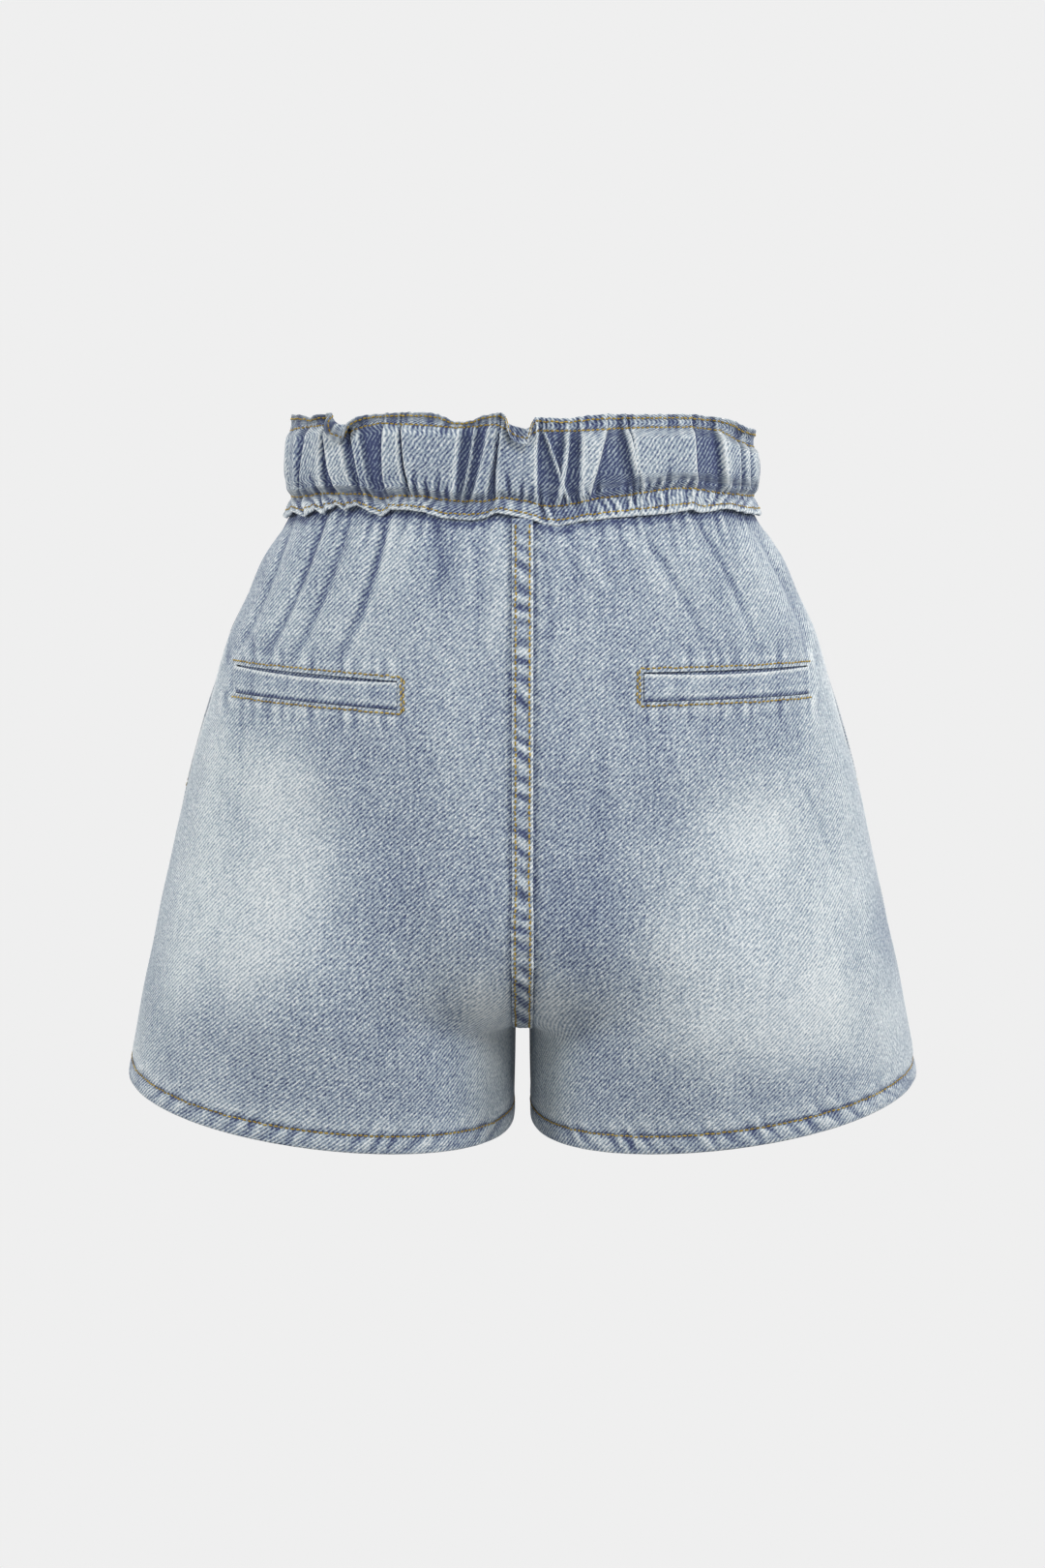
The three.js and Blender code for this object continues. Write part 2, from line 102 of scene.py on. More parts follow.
# Cells round and down each piece's grid, and the points along its stitch rows.
BACK_CELLS = ((38, 80, 30), (46, 10, 104))
FRONT_CELLS, FACING_CELLS, FELL_CELLS = (100, 150), (30, 70), (22, 190)
WELT_CELLS, POCKET_CELLS = (110, 18), (60, 12)
HEM_COLUMNS, HEM_POINTS = 420, 600
BAND_COLUMNS, BAND_POINTS = {True: 420, False: 640}, 1500
SEAM_TURNS = 160

# Where the painted shade under the waist and by the hem and seam, the hem's paler line and the seam's dips
# lie.
WAIST_SHADE, WAIST_SHADE_SPAN = -34, 8
HEM_PALE, HEM_PALE_HALF = 14, 5
HEM_SHADE, HEM_SHADE_HALF = 9, 2.5
SEAM_SHADE, SEAM_SHADE_HALF = 6.4, 1.2
FELL_END, FELL_END_SPAN = -287, 6
BESIDE = 0.4

# The front panel's width of cloth for each unit of turn, and how far the facing runs under it.
CLOTH_A_TURN = 190 / 1.6
FACING_UNDER = 0.075
FACING_BELOW = 1.5

# The felled seam: its puckers' wave, how far over its level its top runs under the waistband's foot,
# and where it starts to bridge the legs' groove.
PUCKER_WAVE = 9.4
FELL_CLEAR = {True: 2.1, False: 3.2}
BRIDGE_TOP, BRIDGE_SPAN = -198, 26

# Seeds of each hem's uneven puckers, by side and whether in front.
HEM_SEEDS = {(-1, False): 41, (1, False): 47, (-1, True): 43, (1, True): 49}

# Where the waistband's two halves join, as shares of the way round from the middle.
JOIN_START, JOIN_SPAN = 0.945, 0.045
FRILL_STEPS = 14
FRILL_THINNER = 0.25

# The studio, in metres: the ground's grey, where it lies, the camera and its lights.
GREY = 239
FLOOR_LEVEL, FLOOR_REACH = -0.62, 6
LENS, SENSOR = 73.27, 36
CAMERA_AT, CAMERA_AIM = (0, -1.70, 0.020), (0, 0, -0.169)
FILL_LIGHT = 0.38
LIGHTS = [
    ("softbox_front", (0.7, -2.3, 1.6), (0, 0, -0.12), 0.9, 34),
    ("softbox_right", (2.3, -1.0, 0.7), (0, 0, -0.16), 1.0, 34),
    ("softbox_left", (-2.3, -1.1, 0.6), (0, 0, -0.16), 1.0, 32),
    ("softbox_back_right", (1.5, 2.0, 1.2), (0, 0, -0.14), 1.4, 34),
    ("softbox_back_left", (-1.5, 2.0, 0.9), (0, 0, -0.14), 1.4, 26),
]

# The two ramps of the denim and that of the thread: place and colour of each stop.
DENIM_STOPS = [
    (0.0, (58, 68, 104)), (0.2, (95, 107, 137)), (0.42, (135, 149, 164)),
    (0.62, (163, 175, 186)), (0.8, (191, 201, 206)), (1.0, (226, 230, 231)),
]
REVERSE_STOPS = [(0.0, (128, 140, 160)), (1.0, (214, 218, 220))]
THREAD_STOPS = [(0.0, (108, 89, 30)), (0.5, (154, 128, 44)), (1.0, (204, 177, 92))]
MIDDLE_TONE = 0.492
# How much darker the denim of the pockets behind the welts is painted: painted shade.
POCKET_SHADE = 0.12

# Half width, reach behind and reach before at each height.
PROFILE = [
    (30, 119, 88, 86), (4, 120, 87, 85), (-16, 120.2, 88, 86), (-28, 125.5, 91.5, 89),
    (-45, 137, 98, 93), (-65, 145.5, 103.5, 96), (-85, 155, 108, 98.5), (-115, 164.6, 113.5, 101),
    (-150, 174.4, 118, 102), (-195, 185.2, 120, 102.5), (-240, 194, 118, 102),
    (-290, 203.2, 113, 100), (-350, 213, 107, 97),
]

# Welt pockets: inner and outer end, top at the inner end, rise to the outer end, depth.
WELTS = {
    "left": dict(inner=62.5, outer=149, top=-105.5, rise=4.8, deep=14.6),
    "right": dict(inner=60.5, outer=148, top=-101.2, rise=0.2, deep=14.8),
}

# Raised strips of the gathered casing: left and right edge at its top and at its foot, height, how worn.
CASING_STRIPS = [
    (-125.3, -118.8, -123.5, -116.7, 3.6, 0.3), (-117.2, -112.3, -116, -112.2, 3.4, 0.1),
    (-107.2, -99.1, -111.9, -98.7, 4, 0.35), (-99.1, -89.6, -92.4, -82.6, 4.6, 0.45),
    (-86, -81.4, -79.5, -73.9, 3.6, 0.4), (-68.7, -60.7, -66.9, -55.4, 4.6, 0.45),
    (-60, -29.7, -54.6, -33.2, 4.4, -0.1), (-23.8, -22.4, -30.7, -29.3, 2.6, 0.5),
    (-17, -11.2, -25.4, -18, 4.2, 0.25), (-10.7, 7.8, -13.2, 8.3, 4.6, 0.18),
    (20.9, 23.4, 16.1, 18.5, 3.2, 0.5), (9.7, 11.2, 22.4, 24.4, 2.6, 0.4),
    (28.7, 42, 28.3, 32.7, 4.6, 0.55), (49.8, 52.3, 56.4, 58.4, 4.6, 0.75),
    (52.8, 85, 58.9, 87.2, 4.2, 0.38), (96.9, 100.1, 99.8, 101.9, 4.8, 0.65),
    (101.2, 108.9, 102.4, 109.6, 3.4, 0.25), (110.6, 113.5, 111.3, 114.2, 4, 0.3),
    (115.3, 118.8, 116, 119.6, 4, 0.3), (120.7, 124.8, 120.9, 124.5, 4, 0.3),
]

# Short creases that rise from the casing's lower stitching: place, how high they reach, lean.
CASING_CREASES = [
    (-120.5, -5, 0.05), (-109, -7, -0.1), (-103, -4, -0.15), (-96, -8, 0.1), (-57.5, -8, 0.05),
    (-52.5, -1, 0), (-47, -7, -0.05), (-41.5, -3, 0.05), (-37, -9, 0), (-6, -2, -0.1),
    (-0.5, -7, 0.05), (4.5, -9, 0), (36.5, -6, 0.1), (57.5, 0, -0.12), (61.5, -7, -0.05),
    (66.5, -10, 0), (71.5, 2, 0),
    (78.5, -8, 0.08), (83, -10, 0), (93, -6, 0.05), (105.5, -5, 0), (117, -7, 0),
]

# The frill along the waist: place, height of its edge above the pattern's, and how far it flops out.
FRILL = [
    (-125.8, -1.1, 0), (-123.2, 0.9, 15), (-119.6, 2.5, 10), (-113.5, 1.4, 0), (-110, -0.4, 20),
    (-106.6, -0.6, 45), (-103.3, 0.7, 60), (-99.1, 1, 30), (-96.4, 1.3, 20), (-94.3, 1.7, 60),
    (-91.7, 0.6, 150), (-88, -1, 165), (-85, -1.1, 140), (-81.9, -0.6, 50), (-78.8, -0.2, 12),
    (-68.7, 0.5, 6), (-60.7, 0.9, 4), (-53.8, 1, 4), (-46.4, 0.7, 4), (-41.5, -0.3, 10),
    (-38, -2.2, 20), (-33.6, -4.2, 30), (-29.2, -4.2, 28), (-24.3, -3.3, 18), (-19.5, -0.9, 5),
    (-14.6, 0.1, 0), (-10.7, 0.5, 5), (-8.3, 0.1, 60), (-6.3, -1.4, 140), (-1.9, -1.9, 150),
    (2.9, -1.9, 140), (5.3, -1.4, 60), (7.3, -1.9, 14), (17, -2.4, 8), (24.3, -2.4, 6),
    (29.2, -1.3, 4), (41.5, -0.1, 4), (48.8, -0.2, 8), (58.7, -0.1, 6), (68.7, 0, 5),
    (78.8, 0.3, 8), (85, 0.4, 10), (94.3, -0.3, 14), (102.3, -1.4, 20), (106.1, -2.2, 40),
    (109.4, -3.5, 60), (113.5, -5.2, 40), (117.9, -5.7, 30), (122.2, -6.2, 5), (125.8, -6.2, 0),
]

# How far the casing's lower stitching and the band's foot lie above the pattern's level.
UPPER_ROW = [
    (-124.5, 3.2), (-113.6, 1.6), (-102.4, 3.4), (-90.3, 3.2), (-78, 2.6), (-71.4, 0.5),
    (-62.9, 2), (-48.9, 1.5), (-36.6, -0.5), (-19.5, -1), (-9.7, 1), (2.4, -0.9), (9.7, -2.9),
    (17.1, -3.4), (24.4, -2.4), (39.1, 1), (53.9, 2.4), (68.9, 5), (79, 6), (91.8, 5.2),
    (102.4, 3.4), (116.7, 2.7), (124.5, 3.2),
]
BAND_FOOT = [
    (-124.1, 3.2), (-118.4, 5.7), (-113.1, 3.6), (-111.4, 3.1), (-106.6, 7.5), (-102.2, 4.4),
    (-100.6, 5.4), (-95.5, 9.8), (-90.2, 6.3), (-88.1, 7.3), (-83, 8.8), (-76.4, 5.2),
    (-71.3, 3.8), (-66.3, 6.6), (-57, 6.4), (-48.9, 5.3), (-39, 2.3), (-24.4, 1.4), (-19.5, 2.3),
    (-13.6, 5.2), (-2.4, 3.3), (9.7, 0), (17, -1.6), (29.2, 0.8), (45.4, 2.9), (58.8, 3.6),
    (73.8, 4.8), (85.1, 6.6), (90.2, 5.6), (105, 7.4), (113.2, 5.5), (124.6, 4.4),
]

# How far the frill's lower stitching, where the casing ends, lies above the pattern's level.
FRILL_ROW = [
    (-125, 3.6), (-117.4, 4.4), (-101, 5.4), (-94, 3.5), (-88, 1.2), (-80, 4), (-71.8, 5.7),
    (-55.4, 4.9), (-31, 3.1), (-13, 4.7), (-5, 0.8), (1.6, -1), (8, 1.6), (26, 1.4),
    (52, 3.1), (84.8, 4.1), (100, 2.6), (107.6, -1.6), (115.7, -4.4), (125, -4.6),
]

# Creases of the back panels: from x, z to x, z, half width, and height (below 0 a trough).
CREASES = [
    (-120, -26, -156.5, -109, 4, -3), (-101, -22, -139, -107, 4.5, -3.6),
    (-87.5, -21.5, -122.5, -106, 5, -2.8), (-69, -26, -95.5, -100, 6, -3.4),
    (-110.5, -23, -141.5, -93, 5, 1.6), (-95, -21.5, -127, -91, 5, 1.8),
    (-78.5, -25, -107.5, -90.5, 6, 1.6), (-56.5, -27, -75.5, -75, 8, 1.4),
    (-43, -26.5, -42, -66.5, 7, -1.6), (-24.5, -30.5, -23, -93.5, 6.5, -0.9),
    (-29, -29, -27, -65, 5, 1), (-9.5, -36, -13.5, -84, 5, 0.8),
    (17, -33, 48.5, -67.5, 3, 0.8), (9.5, -36, 12.5, -103, 4, -1),
    (22, -29, 28, -74.5, 7, -1.1), (56.5, -24.5, 64.5, -75, 9, 0.9),
    (87, -22.5, 125, -106, 5, -2.4), (116.5, -25.5, 155, -109, 4.5, -3),
    (100, -22.5, 140, -97.5, 6, 1.8), (76, -23, 100.5, -88, 7, 1.2),
    (51, -31, 74, -68, 5, 1.2), (61, -33, 94, -92, 6, -1.7),
    (125, -31, 164.5, -125.5, 4, 1.4), (128.5, -158.5, 158.5, -239, 3.5, 0.5),
    (158.5, -239, 159, -282, 3.5, 0.4), (140, -156, 165, -218, 5, -0.8),
    (-145, -88.5, -148, -108, 3, 1), (-139.5, -85.5, -141, -102.5, 3, -0.9),
    (-153, -125.5, -158, -158, 4, 0.8), (-145, -127, -146.5, -156.5, 4, -0.8),
    (144.5, -83.5, 148, -103.5, 3, -0.9), (150.5, -125.5, 159, -158, 4, 0.9),
    (138.5, -121.5, 142.5, -146.5, 4, -0.7), (-48.5, -122.5, -34, -199.5, 14, 0.9),
    (-78, -133, -103, -252, 16, -0.8), (38.5, -122.5, 29, -239, 14, -0.8),
    (78, -133, 108.5, -252, 18, 0.8), (-19.5, -249, -34.5, -309.5, 12, 0.8),
    (17, -249, 39.5, -310, 12, 0.8), (-166, -208.5, -183, -301.5, 10, 0.7),
    (172, -209.5, 191.5, -303.5, 10, 0.7),
]

# Washed-out places: middle x, z, half width, half height, strength.
FADES = [
    (-126, -156, 24, 25, 0.62), (-124, -191, 31, 32, 0.5),
    (-138, -232, 32, 31, 0.62), (-105.5, -217, 20.5, 30, 0.25),
    (-149.5, -261, 31, 20, 0.38), (-168, -196, 17, 44.5, 0.55),
    (-184, -256, 14, 46, 0.4), (-70, -98, 17, 15, 0.24),
    (-160, -158, 15, 18, 0.28), (-100, -83, 34, 10, 0.25),
    (-26, -155, 15, 24, 0.22), (-36, -264, 17, 14, 0.3),
    (-13, -299, 12, 38, 0.9), (13, -302, 11, 40, 0.9),
    (-24, -277, 13, 15, 0.2), (-204, -306, 10, 26, 0.45), (-150, -306, 40, 22, 0.16),
    (113, -177, 24, 19, 0.46), (100.5, -231.5, 37, 65.5, 0.42),
    (138, -184, 24, 30, 0.26), (136.5, -219.5, 31, 40, 0.35),
    (152, -276, 34, 28, 0.85), (78, -240.5, 22, 32, 0.22),
    (88, -284, 30, 22, 0.36), (176, -206, 15, 36, 0.5),
    (156, -226, 11, 30, 0.4), (194, -296, 15, 26, 0.5),
    (34, -268, 26, 12, 0.22), (86, -58, 22, 28, 0.26),
    (122, -56, 14, 32, 0.36), (-64, -46, 9, 23, 0.38),
    (-30, -84, 20, 28.5, 0.22), (-13.5, -58, 8, 36, 0.35),
    (-84, -60, 10, 22, 0.15), (-120, -64, 10, 26, 0.2),
    (-160, -125, 10, 30, 0.5), (166, -130, 12, 45, 0.5),
    (150, -112, 8, 34, 0.45), (28, -100, 12, 50, 0.14),
]

# Places on the panels with painted shade: middle x, z, half width, half height, strength.
SHADED_SPOTS = [
    (22, -208, 24, 40, 0.2), (36, -235, 14, 22, 0.14), (-66, -204, 26, 26, 0.12),
    (-38, -44, 10, 22, 0.24), (22, -62, 8, 20, 0.06), (100, -48, 10, 20, 0.14),
    (-110, -48, 8, 20, 0.16), (60, -158, 18, 18, 0.07),
]

# Painted shade in the gathered casing and the band under it, in the same columns.
CASING_SHADED_SPOTS = [
    (-75, -1, 8, 16, 0.6), (-84, -14, 8, 9, 0.4), (-112, 0, 5, 14, 0.4),
    (-9, 8, 8, 12, 0.35), (-19, -2, 8, 16, 0.35), (77, -1, 6, 14, 0.22),
    (112, -2, 6, 14, 0.4), (24, -20, 15, 7, 0.55), (-28, -21, 13, 7, 0.7),
    (-60, 0, 5, 14, 0.12), (-62, -10, 5, 8, 0.3), (100, -12, 8, 8, 0.1),
]


# The form of the shorts.
def clamp01(v):
    return np.clip(v, 0.0, 1.0)


def smooth(v):
    t = clamp01(v)
    return t * t * (3 - 2 * t)


def mix(a, b, t):
    return a + (b - a) * t


def bell(v):
    return np.exp(-v * v)


def unit(v):
    return v / np.maximum(np.linalg.norm(v, axis=-1, keepdims=True), 1e-9)


def along_table(rows, x, column=1):
    return np.interp(x, [row[0] for row in rows], [row[column] for row in rows])


ROWS = np.array(PROFILE, float)


def profile_at(column, z):
    """One column of the profile at each height, on a smooth curve through its rows."""
    levels, values = ROWS[:, 0], ROWS[:, column]
    last = len(levels) - 1
    above = np.clip(np.searchsorted(-levels, -z, side="left") - 1, 0, last - 1)
    before, below, after = np.maximum(above - 1, 0), above + 1, np.minimum(above + 2, last)
    step = levels[below] - levels[above]
    t = clamp01((z - levels[above]) / step)
    m0 = (values[before] - values[below]) / (levels[before] - levels[below]) * step
    m1 = (values[above] - values[after]) / (levels[above] - levels[after]) * step
    t2, t3 = t * t, t * t * t
    return ((2 * t3 - 3 * t2 + 1) * values[above] + (t3 - 2 * t2 + t) * m0
            + (3 * t2 - 2 * t3) * values[below] + (t3 - t2) * m1)


def section(turn, z):
    """A half's cross-section: turn 0 is the back centre or inseam, 1 the side, 2 the front centre."""
    front = turn > 1
    wide = profile_at(1, z)
    deep = np.where(front, profile_at(3, z), profile_at(2, z))
    legness = smooth((SPREAD_TOP - z) / (SPREAD_TOP - CROTCH))
    rise = clamp01((RISE_TOP - z) / (RISE_TOP - CROTCH))
    seam = deep * (1 - rise ** RISE_POWER) ** (1 / RISE_POWER)
    arch = clamp01((CROTCH - z) / (LEG_GAP / 2))
    parted = LEG_GAP / 2 * np.sqrt(1 - (1 - arch) ** 2)
    inner = parted + LEG_SPREAD * clamp01((CROTCH - z) / (CROTCH - HEM))
    radius = wide / 2
    start = np.arctan2(seam, radius)

    def reach(angle):
        c, s = np.cos(angle), np.sin(angle)
        leg = 1 / np.hypot(c / radius, s / deep)
        a = (c / wide) ** 2 + (s / deep) ** 2
        b = radius * c / wide ** 2
        hips = (b + np.sqrt(b * b - a * ((radius / wide) ** 2 - 1))) / a
        half = np.where(c > 0, np.minimum(hips, radius / np.maximum(c, 1e-9)), hips)
        return mix(half, leg, legness)

    share = clamp01(np.where(front, 2 - turn, turn))
    waist_start = np.arctan2(deep, radius)
    even = waist_start * np.where(z > RISE_TOP, 1.0, 1 - smooth((RISE_TOP - z) / (RISE_TOP - HEM)))
    angle = mix(even, math.pi, share) + (start - even) * (1 - share) ** SEAM_CROWDING
    pull = np.hypot(radius, seam) - reach(start)
    r = reach(angle) + pull * bell((angle - start) / GROOVE)
    y = r * np.sin(angle)
    x = radius - r * np.cos(angle) + (inner + SEAM_GAP / 2) * bell(angle / INSEAM)
    return np.maximum(SEAM_GAP / 2, x), np.where(front, y, -y)


def turn_at(x, z):
    """The back's turn where the hips are x wide of the middle."""
    wide, deep = profile_at(1, z), profile_at(2, z)
    out = np.minimum(np.abs(x), wide * 0.9999)
    y = deep * np.sqrt(1 - (out / wide) ** 2)
    start = np.arctan2(deep, wide / 2)
    return clamp01((np.arctan2(y, wide / 2 - out) - start) / (math.pi - start))


def lift(turn, z):
    ahead = (1 - np.cos(math.pi * turn / 2)) / 2
    drop = FRONT_DROP * ahead * smooth((z - RISE_TOP) / (BAND_EDGE - RISE_TOP))
    hang = smooth((RISE_TOP - z) / (RISE_TOP - HEM))
    tilt = HEM_TILT * np.cos(math.pi * turn) + HEM_BACK * np.sin(math.pi * turn)
    return (HEM_LIFT - tilt) * hang - drop


def body_point(side, turn, z):
    turn = np.clip(turn, 0, 2)
    x, y = section(turn, z)
    return np.stack([side * x, y, z + lift(turn, z)], -1)


def body_place(side, turn, z):
    """Points on the base surface and the directions out of it. side is -1 left, 1 right."""
    side, turn, z = np.broadcast_arrays(*(np.asarray(v, float) for v in (side, turn, z)))
    point = body_point(side, turn, z)
    ahead, behind = np.minimum(2, turn + 0.002), np.maximum(0, turn - 0.002)
    round_ = body_point(side, ahead, z) - body_point(side, behind, z)
    up = body_point(side, turn, z + 0.4) - body_point(side, turn, z - 0.4)
    out = np.cross(round_, up) * side[..., None]
    out[..., 0] = np.where(np.abs(point[..., 0]) < 1, 0, out[..., 0])
    return point, unit(out)


def side_turn(z):
    return 1 - SIDE_BACK * bell((z - SIDE_MIDDLE) / SIDE_SPAN)


def mouth_width(z):
    return MOUTH_SWEEP * clamp01((z - MOUTH_BOTTOM) / (BAND_EDGE - MOUTH_BOTTOM))


def mouth_turn(z):
    return side_turn(z) + mouth_width(z)


def ripple(v, seed, wavelengths):
    """An uneven wave along v, the same each time: a few waves whose lengths don't fit each other."""
    rng = np.random.default_rng(seed)
    total = np.zeros_like(v, dtype=float)
    for length in wavelengths:
        total += np.sin(2 * math.pi * v / length + rng.uniform(0, 6.28)) * rng.uniform(0.6, 1.0)
    return total / len(wavelengths)


# Folds, gathers, wear and painted shade.
def creases(x, z):
    total = np.zeros_like(x)
    for x0, z0, x1, z1, half, height in CREASES:
        dx, dz = x1 - x0, z1 - z0
        length = math.hypot(dx, dz)
        t = ((x - x0) * dx + (z - z0) * dz) / length ** 2
        across = ((x - x0) * dz - (z - z0) * dx) / length
        across = across + 0.04 * length * np.sin(math.pi * clamp01(t))
        fade = smooth((t + 0.1) / 0.25) * smooth((1.15 - t) / 0.55)
        sharp = 0.5 if height < 0 else 1.0
        total += 0.55 * height * fade * bell(across / (sharp * half * (0.75 + 0.5 * clamp01(t))))
    return total


def panel_relief(x, z, front):
    """How far the cloth of the panels stands off the plain body: folds, puckers and slack."""
    flip = -1 if front else 1
    gx = x * flip + (4 if front else 0)
    outward, lower = (z + 28) * np.sign(gx), smooth((-60 - z) / 60)
    gathers = 0.5 * smooth((z + 62) / 36) * ripple(gx + 0.25 * outward, 5, (6.2, 8.9, 13.7))
    gathers += 0.7 * smooth((z + 46) / 20) * ripple(gx + 0.3 * outward, 6, (4.3, 6.1, 8.3))
    slack = 0.5 * ripple(gx + 0.3 * z, 11, (37, 61, 93)) * lower
    slack += 0.35 * ripple(z + 0.2 * gx, 12, (45, 71, 118)) * lower
    seam = bell(x / 9) * smooth((-30 - z) / 10) * smooth((z + 275) / 20)
    pulls = 0.35 * seam * np.sin(2 * math.pi * (z + 0.35 * np.abs(x) + 3 * ripple(z, 21, (41, 67))) / 9.6)
    return creases(gx, z) + gathers + slack + pulls


def folds_at(point, front):
    return panel_relief(point[..., 0], point[..., 2], front)


def band_x(x, front):
    return -x * 0.98 + 2.0 if front else x


def round_table(rows, x, front, column=1, ahead=0.7):
    """A table made for the back, used round the front too, the two meeting at the sides."""
    behind = along_table(rows, x, column)
    if not front:
        return behind
    before = ahead * along_table(rows, band_x(x, True), column)
    return mix(before, behind, smooth((np.abs(x) - 96) / 22))


def under_band(x, z, front):
    """How shaded a panel is in the fold under the waistband's foot."""
    foot = BAND_EDGE + round_table(BAND_FOOT, x, front)
    return 0.95 * bell((z - foot + 2.0) / 1.6)


def drawn_in(relief, x, z, front):
    """A panel's relief with its top edge drawn in where it runs up inside the waistband."""
    foot = BAND_EDGE + round_table(BAND_FOOT, x, front)
    inside = smooth((z - foot) / 4.5)
    return relief * (1 - 0.8 * inside) - 1.3 * inside


def hem_relief(x, z_above, seed):
    """Slanting puckers along a hem, strongest at its stitching."""
    close = bell((z_above - 8.5) / 7.5)
    wave = np.sin(2 * math.pi * (x + 0.75 * z_above + 3.2 * ripple(x, seed, (23, 39, 61))) / 10.4)
    patchy = clamp01(0.55 + 0.75 * ripple(x, seed + 2, (31, 57, 88)))
    return close * (0.5 * wave * patchy + 0.16 * ripple(x + z_above, seed + 1, (3.7, 5.3, 7.9)))


def hem_puckers(side, x, z, front):
    return hem_relief(x * side, z - HEM, HEM_SEEDS[side, front])


def leg_puckers(side, turn, x, z):
    """The puckers right round a leg, the back's up to its side and the front's from there."""
    return np.where(turn < 1, hem_puckers(side, x, z, False), hem_puckers(side, x, z, True))


def stitch_dip(distance):
    return -DIP * bell(distance / DIP_HALF)


def spots(rows, gx, z, power=1.0, edge=1.0):
    """How strongly a place is washed out, or has painted shade, by a table of such places."""
    total = np.zeros_like(gx * z)
    for cx, cz, rx, rz, strength in rows:
        total += strength * bell(np.hypot((gx - cx) / rx, (z - cz) / rz) ** power * edge)
    return total


def fades(x, z, front):
    total = spots(FADES, -x if front else x, z, 1.15, 0.95)
    return clamp01(total * (0.8 if front else 1))


def blur(values, times, ring=False):
    for _ in range(times):
        padded = np.pad(values, ((1, 1), (0, 0)), mode="edge")
        values = (padded[:-2] + 2 * values + padded[2:]) / 4
        padded = np.pad(values, ((0, 0), (1, 1)), mode="wrap" if ring else "edge")
        values = (padded[:, :-2] + 2 * values + padded[:, 2:]) / 4
    return values


def fell_dip(x, z):
    beside = stitch_dip(np.abs(x) - FELL_HALF - BESIDE)
    return beside * smooth((z - FELL_END) / FELL_END_SPAN)


def worn(relief, times, scale, ring=False):
    """What stands out of the cloth's own neighbourhood has worn pale, what lies in it has stayed blue."""
    proud = (relief - blur(relief, times, ring)) / scale
    return clamp01(proud), clamp01(-proud)


# Meshes.
pieces = {}
SIDES = ((-1, "left"), (1, "right"))


def store(mesh, name, kind, values):
    """A value or a direction for each point, kept with the mesh under a name."""
    key = "value" if kind == "FLOAT" else "vector"
    kept = mesh.attributes.new(name, kind, "POINT")
    kept.data.foreach_set(key, values.ravel().astype(np.float32))


def add_object(name, data):
    made = bpy.data.objects.new(name, data)
    bpy.context.scene.collection.objects.link(made)
    return made


def both_faces(point, out, stand, side=None):
    """A cloth's outside and inside, half its thickness either way. side keeps them on their half."""
    faces = [point + out * (stand + half)[..., None] for half in (CLOTH / 2, -CLOTH / 2)]
    if side is not None:
        for grid in faces:
            grid[..., 0] = side * np.maximum(SEAM_GAP / 2, side * grid[..., 0])
    return faces


